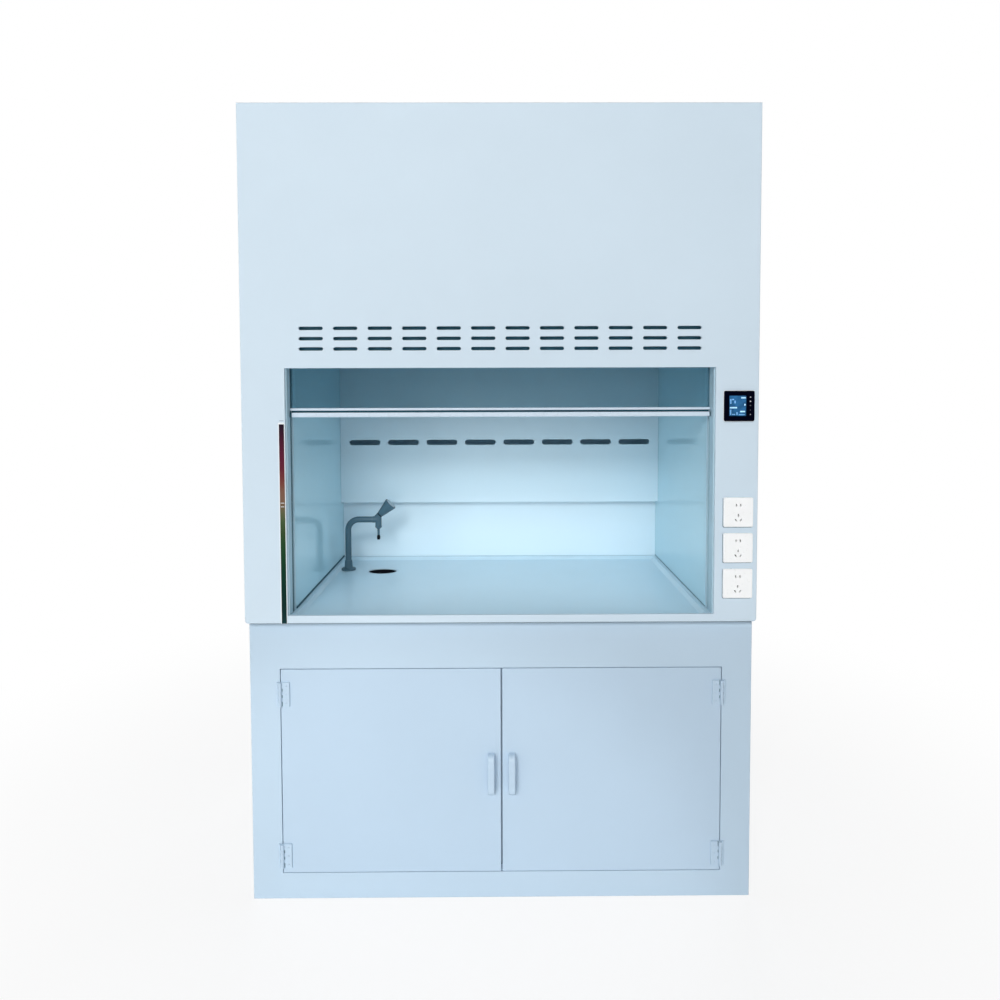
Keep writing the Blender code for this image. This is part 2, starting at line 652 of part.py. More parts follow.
def build_front_frame():
    """A frame with a rebate in its front face for the pair of doors."""
    def door_outline(margin):
        return rectangle(-DOOR_EDGE - margin, DOOR_EDGE + margin,
                         DOOR_Z0 - margin, DOOR_Z1 + margin)

    outer = rectangle(-BASE_OUT, BASE_OUT, 0, BASE_TOP)
    rebate, opening = door_outline(DOOR_PLAY), door_outline(-DOOR_LAP)
    rebate_y, back_y = BASE_FRONT + REBATE_T, BASE_FRONT + BASE_FRAME_T
    rings = [laid(outline, "y", y) for outline, y in (
        (outer, BASE_FRONT), (rebate, BASE_FRONT), (rebate, rebate_y),
        (opening, rebate_y), (opening, back_y), (outer, back_y))]
    add_piece("base_front_frame", skin(rings, around=True), PP)


# ---------------------------------------------------------------- hinges
HINGE_X = 0.658
HINGE_PROUD = 0.0055     # hinge axis in front of the base cabinet's face
HINGE_Z = (("lower", 0.1350), ("upper", 0.6280))
# owner and length of each knuckle, from the top of the left hinge down
KNUCKLES = (("door", 0.018), ("frame", 0.009), ("door", 0.010),
            ("frame", 0.009), ("door", 0.010), ("frame", 0.015))
KNUCKLE_GAP, KNUCKLE_R, PIN_R, PIN_BORE = 0.0004, 0.0050, 0.0020, 0.0024
PIN_SHORT = 0.001        # the pin stops this far short of the hinge's end
LEAF_T = 0.0040
LEAF_START = 0.0065      # from the axis to the leaf's near edge
LEAF_REACH = {"door": 0.0280, "frame": 0.0115}       # from the axis to its far edge
LEAF_BACK, LEAF_FACE = GAP, GAP + LEAF_T             # heights over the cabinet's face
HINGE_H = sum(h for _, h in KNUCKLES) + KNUCKLE_GAP * (len(KNUCKLES) - 1)


def knuckle_spans(owner):
    """The (bottom, top) of an owner's knuckles, from the bottom up."""
    spans, top = [], HINGE_H / 2
    for who, length in KNUCKLES:
        if who == owner:
            spans.append((top - length, top))
        top -= length + KNUCKLE_GAP
    return spans[::-1]


def add_leaf(bm, vertex, spans, inward, reach):
    """The flat leaf, left open where knuckles join. Returns its near edge's vertices by level."""
    levels = sorted({-HINGE_H / 2, HINGE_H / 2, *[level for span in spans for level in span]})
    near, far = [{level: [vertex(inward * across, out, level) for out in (LEAF_BACK, LEAF_FACE)]
                  for level in levels} for across in (LEAF_START, reach)]
    for low, high in zip(levels, levels[1:]):
        if not any(abs(low - bottom) < 1e-9 for bottom, _ in spans):
            bm.faces.new([near[low][0], near[high][0], near[high][1], near[low][1]])
        bm.faces.new([far[low][0], far[high][0], far[high][1], far[low][1]])
        for k in (0, 1):
            bm.faces.new([near[low][k], near[high][k], far[high][k], far[low][k]])
    for level in (levels[0], levels[-1]):
        bm.faces.new([near[level][0], near[level][1], far[level][1], far[level][0]])
    return near


def add_knuckles(bm, vertex, spans, inward, near, bore):
    """Barrels on the leaf's near edge. Returns the (bottom, top) vertices of each bore."""
    # round the barrel from the leaf's back edge to its front edge
    barrel = [(inward * across, out) for across, out in arc(
        0, HINGE_PROUD, KNUCKLE_R, radians(-70),
        -2 * pi + asin((LEAF_FACE - HINGE_PROUD) / KNUCKLE_R), 14)]
    edge = inward * LEAF_START
    outline = [(edge, LEAF_BACK)] + barrel + [(edge, LEAF_FACE)]
    fill = triangles([outline, bore])
    bores = []
    for span in spans:
        rims, holes = [], []
        for level in span:
            back, face = near[level]
            rim = [back] + [vertex(*p, level) for p in barrel] + [face]
            hole = [vertex(*p, level) for p in bore]
            for triangle in fill:
                bm.faces.new([(rim + hole)[i] for i in triangle])
            rims.append(rim)
            holes.append(hole)
        low, high = rims
        for i in range(len(outline) - 1):
            bm.faces.new([low[i], low[i + 1], high[i + 1], high[i]])
        bores.append(holes)
    return bores


def hinge_leaf(side, mid_z, owner):
    """One leaf of a pinned butt hinge. The pin belongs to the frame's leaf.

    The hinge is drawn for the left side, and turned half a turn for the right side.
    """
    bm = bmesh.new()
    sign = 1 if side == "left" else -1

    def vertex(across, out, up):
        # from the axis towards the door, over the cabinet's face, and up from the middle
        return bm.verts.new((sign * (across - HINGE_X), BASE_FRONT - out, mid_z + sign * up))

    inward = 1 if owner == "door" else -1
    bore = circle(0, HINGE_PROUD, PIN_BORE if owner == "door" else PIN_R, 10)
    spans = knuckle_spans(owner)
    near = add_leaf(bm, vertex, spans, inward, LEAF_REACH[owner])
    bores = add_knuckles(bm, vertex, spans, inward, near, bore)
    if owner == "door":
        for low, high in bores:
            join_rings(bm, low, high)
    else:
        # the pin shows between the knuckles and is one solid with them
        pin_end = [vertex(*p, HINGE_H / 2 - PIN_SHORT) for p in bore]
        bm.faces.new(bores[0][0])
        above = [low for low, _ in bores[1:]] + [pin_end]
        for (_, high), following in zip(bores, above):
            join_rings(bm, high, following)
        bm.faces.new(pin_end)
    return bm


# ---------------------------------------------------------------- doors
HANDLE_X, HANDLE_W, HANDLE_PROUD = 0.0310, 0.020, 0.028
HANDLE_Z0, HANDLE_Z1 = 0.312, 0.446
GRIP_T, HANDLE_FOOT = 0.010, 0.017
HANDLE_OUTER_R, HANDLE_INNER_R = 0.016, 0.007


def door_pull(mid_x):
    """A bow-shaped pull: its side view, as wide as the grip."""
    foot_y = BASE_FRONT - GAP
    outer_y = BASE_FRONT - HANDLE_PROUD + HANDLE_OUTER_R
    inner_y = BASE_FRONT - HANDLE_PROUD + GRIP_T + HANDLE_INNER_R
    low, high = HANDLE_Z0 + HANDLE_FOOT, HANDLE_Z1 - HANDLE_FOOT
    section = ([(foot_y, HANDLE_Z0)]
               + arc(outer_y, HANDLE_Z0 + HANDLE_OUTER_R, HANDLE_OUTER_R, 1.5 * pi, pi)
               + arc(outer_y, HANDLE_Z1 - HANDLE_OUTER_R, HANDLE_OUTER_R, pi, pi / 2)
               + [(foot_y, HANDLE_Z1), (foot_y, high)]
               + arc(inner_y, high - HANDLE_INNER_R, HANDLE_INNER_R, pi / 2, pi)
               + arc(inner_y, low + HANDLE_INNER_R, HANDLE_INNER_R, pi, 1.5 * pi)
               + [(foot_y, low)])
    return prism([section], "x", mid_x - HANDLE_W / 2, mid_x + HANDLE_W / 2)


def build_door(side, sign):
    body = side + "_door"
    add_pivot(body, (sign * HINGE_X, BASE_FRONT - HINGE_PROUD, 0))
    panel = box((sign * DOOR_EDGE, BASE_FRONT, DOOR_Z0),
                (sign * DOOR_MID, BASE_FRONT + DOOR_T, DOOR_Z1))
    add_piece(body, panel, PP, body=body)
    add_piece(body + "_handle", door_pull(sign * HANDLE_X), PP_MOULD, body=body, smooth=30)
    for level, mid_z in HINGE_Z:
        for owner, parent in (("door", body), ("frame", None)):
            add_piece(f"{side}_{level}_hinge_{owner}_leaf", hinge_leaf(side, mid_z, owner),
                      PP_MOULD, body=parent, smooth=40)


# ---------------------------------------------------------------- water tap
TAP_R = 0.0105           # outside radius of the gooseneck
TAP_TAIL_Z = 0.800       # lower end of the tail under the worktop
TAP_BASE_TOP = 0.900
TAP_PLAY = 0.0004        # between the tap's turning parts
TAP_ARM_Z, TAP_BEND = 1.051, 0.035
SPIGOT_R = 0.0070
SPOUT_X = -0.4534
ARM_END = SPOUT_X - 0.0225
KNOB_BASE = Vector((-0.4467, TAP_Y, 1.0703))
KNOB_DIR = Vector((sin(radians(45)), 0.0, cos(radians(45))))
KNOB_LENGTH, KNOB_R0, KNOB_R1 = 0.056, 0.0105, 0.0218
# the three profiles hold radius, z
TAP_BASE = [
    (0.0070, TAP_TAIL_Z), (0.0105, TAP_TAIL_Z), (0.0105, ON_WORK_Z), (0.0265, ON_WORK_Z),
    (0.0265, ON_WORK_Z + 0.0050), (0.0240, ON_WORK_Z + 0.0075), (0.0135, ON_WORK_Z + 0.0085),
    (TAP_R + TAP_PLAY, TAP_BASE_TOP), (0.0075, TAP_BASE_TOP),
]
VALVE_BODY = [
    (0.0048, 1.0145), (0.0115, 1.0215), (0.0118, 1.0280),
    (0.0112, 1.0300), (0.0112, 1.0610), (0.0080, 1.0660),
]
NOZZLE = [
    (0.0025, 0.9755), (0.0050, 0.9755), (0.0060, 0.9780), (0.0060, 0.9880),
    (0.0046, 0.9910), (0.0044, 1.0142), (0.0025, 1.0142),
]


def build_tap_base():
    add_piece("faucet_base", lathe(TAP_BASE, 24, (TAP_X, TAP_Y, 0), around=True),
              TAP_GREY, smooth=40)
    path = [(TAP_X, TAP_Y, TAP_TAIL_Z - GAP), (TAP_X, TAP_Y, 0.700),
            (TAP_X, TAP_Y + 0.140, 0.520), (TAP_X, INSIDE_BACK - GAP, 0.520)]
    add_piece("supply_hose", tube(round_path(path, radius=0.060, steps=4), 0.0065, 10),
              HOSE, smooth=50)


def build_spout():
    """The gooseneck swings in the base and carries the valve and the nozzle."""
    body = "faucet_spout"
    add_pivot(body, (TAP_X, TAP_Y, TAP_BASE_TOP))
    path = [(TAP_X, TAP_Y, TAP_BASE_TOP + TAP_PLAY), (TAP_X, TAP_Y, TAP_ARM_Z),
            (ARM_END, TAP_Y, TAP_ARM_Z)]
    neck = add_piece("faucet_gooseneck", tube(round_path(path, TAP_BEND, steps=8), TAP_R, 20),
                     TAP_GREY, body=body, smooth=50)
    spigot = tube([(TAP_X, TAP_Y, 0.885), (TAP_X, TAP_Y, 0.910)], SPIGOT_R, 16)
    combine(neck, "UNION", "faucet_spigot", spigot)

    spout = (SPOUT_X, TAP_Y, 0)
    valve = add_piece("faucet_valve_body", lathe(VALVE_BODY, 20, spout),
                      TAP_GREY, body=body, smooth=40)
    socket = tube([(ARM_END + GAP, TAP_Y, TAP_ARM_Z), (SPOUT_X, TAP_Y, TAP_ARM_Z)], 0.0116, 20)
    combine(valve, "UNION", "faucet_arm_socket", socket)
    seat = KNOB_BASE - KNOB_DIR * TAP_PLAY
    combine(valve, "UNION", "faucet_bonnet", tube([seat - KNOB_DIR * 0.016, seat], 0.0098, 20))
    add_piece("faucet_nozzle", lathe(NOZZLE, 16, spout, around=True),
              TAP_BLACK, body=body, smooth=40)


def build_knob():
    add_pivot("faucet_knob", KNOB_BASE)
    profile = [(KNOB_R0 - 0.0006, 0), (KNOB_R0, 0.0008),
               (KNOB_R1, KNOB_LENGTH - 0.0015), (KNOB_R1 - 0.0015, KNOB_LENGTH)]
    add_piece("faucet_knob", lathe(profile, 24, KNOB_BASE, KNOB_DIR),
              TAP_GREY, body="faucet_knob", smooth=40)


# ---------------------------------------------------------------- assembly
clear_scene()
build_casing()
build_worktop()
build_cup()
build_trap()
build_liners()
build_ceiling()
build_baffles()
build_lamp()
build_tracks()
build_fittings()
build_loom()
build_sash()
for side_name, side_sign in SIDES:
    build_suspension(side_name, side_sign)
build_carcass()
build_front_frame()
for side_name, side_sign in SIDES:
    build_door(side_name, side_sign)
build_tap_base()
build_spout()
build_knob()
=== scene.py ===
"""A laboratory fume hood: casing, lined chamber, counterweighted sash, base cabinet and water tap.

Everything is in metres in the frame of the CAD: +Z up, front towards -Y, left towards -X,
origin on the floor. Pieces replace the CAD nodes they are sized from.
"""

from functools import cached_property
from math import acos, asin, atan2, cos, pi, radians, sin, tan

import bmesh
import bpy
import numpy as np
from mathutils import Matrix, Vector
from mathutils.geometry import tessellate_polygon


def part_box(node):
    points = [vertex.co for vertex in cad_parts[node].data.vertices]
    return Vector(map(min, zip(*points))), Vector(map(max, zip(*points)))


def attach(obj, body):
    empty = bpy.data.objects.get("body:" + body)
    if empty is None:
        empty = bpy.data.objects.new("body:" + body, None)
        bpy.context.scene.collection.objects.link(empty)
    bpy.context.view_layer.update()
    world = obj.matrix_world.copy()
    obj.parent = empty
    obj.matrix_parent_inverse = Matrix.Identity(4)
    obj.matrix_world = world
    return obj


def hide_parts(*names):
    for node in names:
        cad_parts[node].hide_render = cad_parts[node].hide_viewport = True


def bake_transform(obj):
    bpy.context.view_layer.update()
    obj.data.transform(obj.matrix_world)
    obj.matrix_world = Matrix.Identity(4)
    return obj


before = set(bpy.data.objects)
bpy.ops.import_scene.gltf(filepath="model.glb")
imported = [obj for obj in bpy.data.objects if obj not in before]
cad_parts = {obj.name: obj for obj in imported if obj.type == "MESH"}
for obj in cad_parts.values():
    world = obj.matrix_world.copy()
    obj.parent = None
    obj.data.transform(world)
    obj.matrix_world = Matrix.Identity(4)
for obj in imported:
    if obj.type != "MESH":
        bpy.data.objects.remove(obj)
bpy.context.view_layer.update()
BOX = {name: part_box(name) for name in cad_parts}
SIDES = (("left", -1), ("right", 1))


def span(node, axis):
    """The low and high place of a CAD node along an axis."""
    i = "xyz".index(axis)
    return BOX[node][0][i], BOX[node][1][i]


def low(node, axis):
    return span(node, axis)[0]


def high(node, axis):
    return span(node, axis)[1]


def middle(node, axis):
    return (low(node, axis) + high(node, axis)) / 2


def area(node, axes):
    """Low and high of the first axis, then of the second."""
    return *span(node, axes[0]), *span(node, axes[1])


# ---------------------------------------------------------------- sizes
GAP = 0.0003  # clearance between parts that touch

# hood casing
HALF_WIDTH = high("front_fascia", "x")
FRONT, FASCIA_BACK = span("front_fascia", "y")
HOOD_LOW, HOOD_TOP = span("front_fascia", "z")
SKIN_Y = FRONT - GAP  # back of whatever sits on the fascia
OPEN_HALF, OPEN_LOW, OPEN_HIGH = 0.6235, 0.8737, 1.5960
VENT_COLUMNS, VENT_ROWS, VENT_PITCH, VENT_ROW_PITCH = 12, 3, 0.0993, 0.0295
VENT_LENGTH, VENT_HEIGHT, VENT_Z = 0.070, 0.010, 1.6810
DUCT_Y, DUCT_R, DUCT_WALL = 0.200, 0.125, 0.005
DUCT_FLANGE_R, DUCT_FLANGE_T = DUCT_R + 0.030, 0.008

# fittings on the fascia
PANEL_X = middle("display_controller", "x")
DISPLAY_Z = middle("display_controller", "z")
SOCKETS = {name: middle(name, "z") for name in ("socket_upper", "socket_middle", "socket_lower")}

# chamber
CURB_Z = high("worktop", "z")
WORK_Z = CURB_Z - 0.010
SEAT_Z = WORK_Z + GAP  # underside of what stands on the worktop
WALL_IN = low("right_inner_liner", "x")
CEILING_Z = low("chamber_ceiling", "z")
BAFFLE_Y, BAFFLE_T = 0.268, 0.005
BAFFLE_BEND_Z, BAFFLE_BEND_R, BAFFLE_TIP_Y = 1.700, 0.012, 0.088
LOWER_BAFFLE_Y = low("lower_baffle", "y")
LOOM_PASS_Y, LOOM_PASS_Z = -0.280, 2.230  # where the wiring crosses the right liner

# sash and its balance
SASH_Y = middle("sash_glass", "y")
RAIL_Z = low("sash_handle_rail", "z")
SASH_TOP = high("sash_top_rail", "z")
PULLEY_R, PULLEY_Z = 0.026, 2.300
CABLE_R = 0.0015
CABLE_FRONT, CABLE_REAR = (0.636, -0.370), (0.690, -0.020)  # x, y on the right side

# base cabinet
BASE_OUT, BASE_FRONT = high("base_front_frame", "x"), low("base_front_frame", "y")
DOOR_EDGE = high("right_door", "x")
DOOR_LOW, DOOR_TOP = span("right_door", "z")
DOOR_T = high("right_door", "y") - low("right_door", "y")
HANDLE_W, HANDLE_PROUD = 0.020, 0.028
HANDLE_LOW, HANDLE_TOP = low("left_door_handle", "z") + 0.014, high("left_door_handle", "z")
HINGE_X, HINGE_PROUD = 0.658, 0.0055
HINGE_Z = {"lower": 0.1350, "upper": 0.6280}
KNUCKLES = (("door", 0.018), ("frame", 0.009), ("door", 0.010), ("frame", 0.009),
            ("door", 0.010), ("frame", 0.015))  # owner and length along the pin
KNUCKLE_GAP, KNUCKLE_R, PIN_R, PIN_BORE = 0.0004, 0.0050, 0.0020, 0.0024
HINGE_H = sum(length for _, length in KNUCKLES) + KNUCKLE_GAP * (len(KNUCKLES) - 1)
LEAF_T, LEAF_DOOR, LEAF_FRAME = 0.0040, 0.0280, 0.0115

# water tap and cup sink
TAP_X, TAP_Y = -0.5665, 0.142
TAP_R, TAP_ARM_Z, TAP_BEND, SPOUT_X = 0.0112, 1.051, 0.040, -0.4534
KNOB_BASE = Vector((-0.4467, TAP_Y, 1.0703))
KNOB_DIR = Vector((sin(radians(45)), 0.0, cos(radians(45))))
KNOB_LENGTH, KNOB_R0, KNOB_R1 = 0.056, 0.0116, 0.0243
CUP_X, CUP_Y, CUP_RX, CUP_RY = -0.431, 0.128, 0.0525, 0.0375
CUP_DX, CUP_DY = -0.0040, -0.0120  # shift of the cup's mouth from its drain

BEAD_PITCH = 0.0065  # scale length of the weld beads


# ---------------------------------------------------------------- material tools
def to_linear(*rgb):
    """Linear colour from 0-255 sRGB."""
    shares = [v / 255 for v in rgb]
    return tuple(v / 12.92 if v <= 0.04045 else ((v + 0.055) / 1.055) ** 2.4 for v in shares)


class Nodes:
    """The emptied node tree of a material or world, with helpers to fill it."""

    def __init__(self, owner):
        owner.use_nodes = True
        self.tree = owner.node_tree
        self.tree.nodes.clear()

    def node(self, kind, *values, settings=None, **named):
        """Adds a node. Inputs are given by position or name, as a value or a socket to link."""
        made = self.tree.nodes.new(kind)
        for key, value in (settings or {}).items():
            setattr(made, key, value)
        keyed = [(key.replace("_", " "), value) for key, value in named.items()]
        for key, value in [*enumerate(values), *keyed]:
            if isinstance(value, bpy.types.NodeSocket):
                self.link(value, made.inputs[key])
            else:
                made.inputs[key].default_value = value
        return made

    def link(self, source, target):
        self.tree.links.new(source, target)

    @cached_property
    def coord(self):
        return self.node("ShaderNodeTexCoord").outputs["Object"]

    def noise(self, scale, detail=2.0, roughness=0.5, stretch=None):
        where = self.coord
        if stretch:
            where = self.node("ShaderNodeMapping", Scale=stretch, Vector=where).outputs[0]
        return self.node("ShaderNodeTexNoise", Scale=scale, Detail=detail, Roughness=roughness,
                         Vector=where).outputs["Fac"]

    def remap(self, value, source, target, **settings):
        return self.node("ShaderNodeMapRange", settings=settings, Value=value,
                         From_Min=source[0], From_Max=source[1],
                         To_Min=target[0], To_Max=target[1]).outputs[0]

    def math(self, operation, first, second, clamp=False):
        settings = {"operation": operation, "use_clamp": clamp}
        return self.node("ShaderNodeMath", first, second, settings=settings).outputs[0]


class Surface(Nodes):
    """A Principled material whose colour, roughness and relief can be varied."""

    def __init__(self, name, colour, roughness, metallic=0.0, specular=0.5):
        self.material = MATERIALS[name] = bpy.data.materials.new(name)
        super().__init__(self.material)
        self.colour, self.roughness = (*colour, 1), roughness
        self.bsdf = self.node("ShaderNodeBsdfPrincipled", Base_Color=self.colour,
                              Roughness=roughness, Metallic=metallic, IOR=1.5,
                              Specular_IOR_Level=specular)
        self.node("ShaderNodeOutputMaterial", self.bsdf.outputs[0])
        self.material.diffuse_color = self.colour

    def wave(self, scale, direction):
        settings = {"bands_direction": direction}
        return self.node("ShaderNodeTexWave", settings=settings, Scale=scale,
                         Vector=self.coord).outputs["Fac"]

    def vary_colour(self, factor, darkest, lightest):
        """Multiplies the base colour as factor goes from 0.35 to 0.65."""
        gain = self.remap(factor, (0.35, 0.65), (darkest, lightest))
        grey = self.node("ShaderNodeCombineColor", gain, gain, gain).outputs[0]
        mix = self.node("ShaderNodeMix", settings={"data_type": "RGBA", "blend_type": "MULTIPLY"},
                        Factor=1.0, A=self.colour, B=grey)
        base = self.bsdf.inputs["Base Color"]
        if base.is_linked:
            self.link(base.links[0].from_socket, mix.inputs["A"])
        self.link(mix.outputs["Result"], base)

    def vary_roughness(self, factor, spread):
        limits = max(0.02, self.roughness - spread), self.roughness + spread
        self.link(self.remap(factor, (0.3, 0.7), limits), self.bsdf.inputs["Roughness"])

    def bump(self, *heights):
        """Adds relief from (factor, metres) pairs."""
        total = None
        for factor, metres in heights:
            height = self.math("MULTIPLY", factor, metres)
            total = height if total is None else self.math("ADD", total, height)
        relief = self.node("ShaderNodeBump", Strength=1.0, Distance=1.0, Height=total)
        self.link(relief.outputs[0], self.bsdf.inputs["Normal"])

    def glow(self, strength):
        """Emits the base colour."""
        colour = self.bsdf.inputs["Base Color"].links[0].from_socket
        self.link(colour, self.bsdf.inputs["Emission Color"])
        self.bsdf.inputs["Emission Strength"].default_value = strength


# ---------------------------------------------------------------- materials
MATERIALS = {}
CASING_BLUE = (0.628, 0.748, 0.842)
DOOR_BLUE = (0.485, 0.615, 0.740)

# name, colour, roughness, grain, stretch of the draw lines, smudge, specular
SHEETS = (
    ("pp_casing", CASING_BLUE, 0.54, 1.0, (1, 1, 0.04), 0.03, 0.35),
    ("pp_base", (0.500, 0.630, 0.745), 0.50, 1.0, (1, 1, 0.04), 0.03, 0.4),
    ("pp_door", DOOR_BLUE, 0.48, 1.0, (0.04, 1, 1), 0.03, 0.4),
    ("pp_liner_gloss", (0.56, 0.83, 0.93), 0.11, 0.25, (1, 0.05, 1), 0.02, 0.5),
    ("pp_baffle", (0.655, 0.82, 0.91), 0.34, 1.0, (0.05, 1, 1), 0.03, 0.5),
    ("pp_worktop", (0.575, 0.765, 0.875), 0.24, 0.4, (0.05, 1, 1), 0.012, 0.5),
    # the guides are darker than the casing: painted shade from the opening's edge
    ("pp_track_painted_shade", (0.47, 0.65, 0.74), 0.33, 1.0, (1, 1, 0.04), 0.03, 0.5),
    # the deflector's dark teal is painted shade behind the vent slots
    ("deflector_painted_shade", (0.045, 0.195, 0.270), 0.42, 1.0, (0.04, 1, 1), 0.03, 0.5),
)
# name, colour, roughness, grain, specular, mottle
MOULDINGS = (
    ("pp_weld_bead", (0.735, 0.815, 0.885), 0.33, 0.6, 0.5, 1.0),
    ("pp_moulding", DOOR_BLUE, 0.45, 1.0, 0.5, 1.0),
    ("pp_rail", (0.64, 0.75, 0.86), 0.30, 0.6, 0.5, 1.0),
    ("pp_cup_rim", (0.42, 0.56, 0.65), 0.30, 0.5, 0.3, 1.0),
    ("tap_grey_plastic", (0.057, 0.122, 0.165), 0.42, 1.0, 0.4, 1.0),
    # lighter grey for the knob's end cap: painted light
    ("tap_cap_painted_light", (0.40, 0.50, 0.57), 0.35, 1.0, 0.5, 1.0),
    ("tap_black_rubber", (0.003, 0.004, 0.007), 0.5, 1.0, 0.12, 1.0),
    ("socket_white", (0.985, 0.995, 0.995), 0.30, 0.10, 0.5, 0.15),
    # near-black: painted shade inside the outlet slots
    ("socket_core", (0.02, 0.02, 0.022), 0.5, 0.6, 0.2, 1.0),
    ("display_bezel", (0.0008, 0.0012, 0.0070), 0.14, 0.4, 0.04, 1.0),
    ("touch_mark_bright", (0.62, 0.62, 0.66), 0.4, 0.4, 0.5, 1.0),
    ("touch_mark_dim", (0.12, 0.12, 0.13), 0.4, 0.4, 0.5, 1.0),
    ("printed_mark", (0.33, 0.40, 0.48), 0.5, 0.4, 0.5, 1.0),
    ("label_white", (0.86, 0.90, 0.93), 0.35, 0.4, 0.5, 1.0),
    # the dark seal is rubber and also painted shade at the left guide, the left wall's foot and the rail
    # groove; the grey one is painted shade at the right wall's foot and by the hinge knuckles; the light
    # one is a lit copy for the right guide
    ("rubber_and_painted_shade", (0.025, 0.090, 0.125), 0.5, 1.0, 0.2, 1.0),
    ("grey_painted_shade", (0.16, 0.27, 0.32), 0.5, 1.0, 0.3, 1.0),
    ("seal_painted_lit", (0.36, 0.54, 0.62), 0.5, 1.0, 0.3, 1.0),
    # dark rim by each outlet plate: painted shadow
    ("outlet_painted_shadow", (0.10, 0.15, 0.21), 0.5, 0.6, 0.3, 1.0),
    # painted shadow under the hood's overhang
    ("overhang_painted_shadow", (0.030, 0.065, 0.100), 0.5, 0.6, 0.2, 1.0),
    ("nylon", (0.70, 0.70, 0.67), 0.42, 1.0, 0.5, 1.0),
    ("hose_grey", (0.24, 0.27, 0.29), 0.45, 3.0, 0.5, 1.0),
    ("trap_grey", (0.42, 0.45, 0.47), 0.38, 1.5, 0.5, 1.0),
    ("cable_sheath", (0.012, 0.013, 0.016), 0.5, 2.0, 0.5, 1.0),
)
# name, colour, roughness, stretch of the brushing, grain, metallic
METALS = (
    ("cable_steel", (0.60, 0.62, 0.64), 0.34, (1, 1, 1), 1.0, 1.0),
    ("beam_steel", (0.56, 0.58, 0.60), 0.38, (0.04, 0.04, 1), 1.0, 1.0),
    ("screw_steel", (0.62, 0.66, 0.70), 0.30, (1, 1, 1), 1.0, 1.0),
    ("painted_iron", (0.055, 0.060, 0.066), 0.55, (1, 1, 1), 4.0, 0.25),
    ("anodised_aluminium", (0.74, 0.77, 0.80), 0.34, (0.03, 1, 1), 1.0, 1.0),
)


def sheet_material(name, colour, roughness, grain, stretch, smudge, specular):
    """Polypropylene sheet: satin, with faint draw lines, a fine grain and handling marks."""
    look = Surface(name, colour, roughness, specular=specular)
    look.vary_colour(look.noise(scale=1.7, detail=3.0, roughness=0.55), 0.985, 1.015)
    look.vary_roughness(look.noise(scale=7.0, detail=3.0), smudge)
    look.bump((look.noise(scale=900.0, detail=1.0), 0.000012 * grain),
              (look.noise(scale=60.0, stretch=stretch), 0.000030 * grain),
              (look.noise(scale=2.2, detail=0.0), 0.00006 * grain))


def moulded_material(name, colour, roughness, grain, specular, mottle):
    """Injection moulded plastic: a close spark-eroded grain and little colour change."""
    look = Surface(name, colour, roughness, specular=specular)
    look.vary_colour(look.noise(scale=40.0, detail=3.0), 1 - 0.015 * mottle, 1 + 0.012 * mottle)
    look.vary_roughness(look.noise(scale=90.0), spread=0.04)
    look.bump((look.noise(scale=2600.0), 0.00001 * grain),
              (look.noise(scale=350.0, detail=1.0), 0.00001 * grain))


def metal_material(name, colour, roughness, stretch, grain, metallic):
    look = Surface(name, colour, roughness, metallic)
    look.vary_colour(look.noise(scale=14.0, detail=4.0), 0.93, 1.04)
    look.vary_roughness(look.noise(scale=55.0, detail=4.0, roughness=0.6, stretch=stretch),
                        spread=0.10)
    look.bump((look.noise(scale=700.0, stretch=stretch), 0.00002 * grain))


def spangle_material():
    """Galvanised steel with flat grey crystals."""
    look = Surface("galvanised_spangle", (0.50, 0.53, 0.56), roughness=0.42, metallic=0.9)
    cells = look.node("ShaderNodeTexVoronoi", Scale=120.0, Vector=look.coord).outputs["Color"]
    look.vary_colour(look.remap(cells, (0, 1), (0.3, 0.7)), 0.80, 1.15)
    look.vary_roughness(look.noise(scale=60.0), spread=0.12)


def opal_material():
    """A ribbed lamp cover with a weak glow."""
    look = Surface("opal_diffuser", (0.86, 0.90, 0.92), roughness=0.30)
    look.vary_colour(look.noise(scale=5.0), 0.98, 1.02)
    look.bump((look.wave(scale=90.0, direction="X"), 0.0003))
    look.bsdf.inputs["Emission Color"].default_value = (0.9, 0.96, 1.0, 1)
    look.bsdf.inputs["Emission Strength"].default_value = 0.15


def glass_material():
    """Clear glass with a faint green-blue tint and smears, glossy on outer faces only."""
    material = MATERIALS["sash_glass"] = bpy.data.materials.new("sash_glass")
    look = Nodes(material)
    smear = look.noise(scale=4.0, detail=5.0)
    tint = look.node("ShaderNodeMix", settings={"data_type": "RGBA"},
                     Factor=look.remap(smear, (0.3, 0.7), (0.0, 1.0)),
                     A=(0.650, 0.745, 0.780, 1), B=(0.680, 0.770, 0.800, 1))
    clear = look.node("ShaderNodeBsdfTransparent", Color=tint.outputs["Result"])
    gloss = look.node("ShaderNodeBsdfGlossy", Color=(0.95, 0.98, 1.0, 1),
                      Roughness=look.remap(smear, (0.0, 1.0), (0.01, 0.05)))
    fresnel = look.node("ShaderNodeFresnel", IOR=1.45).outputs[0]
    back = look.node("ShaderNodeNewGeometry").outputs["Backfacing"]
    outer = look.math("SUBTRACT", 1.0, back)
    share = look.math("MULTIPLY", outer, fresnel, clamp=True)
    shine = look.math("MULTIPLY", share, 1.7, clamp=True)
    mix = look.node("ShaderNodeMixShader", shine, clear.outputs[0], gloss.outputs[0])
    look.node("ShaderNodeOutputMaterial", mix.outputs[0])
    material.diffuse_color = (0.7, 0.85, 0.88, 0.3)


def glass_edge_material():
    look = Surface("sash_glass_edge", (0.10, 0.30, 0.28), roughness=0.12)
    look.vary_colour(look.noise(scale=60.0), 0.85, 1.15)
    look.bump((look.noise(scale=500.0), 0.00003))


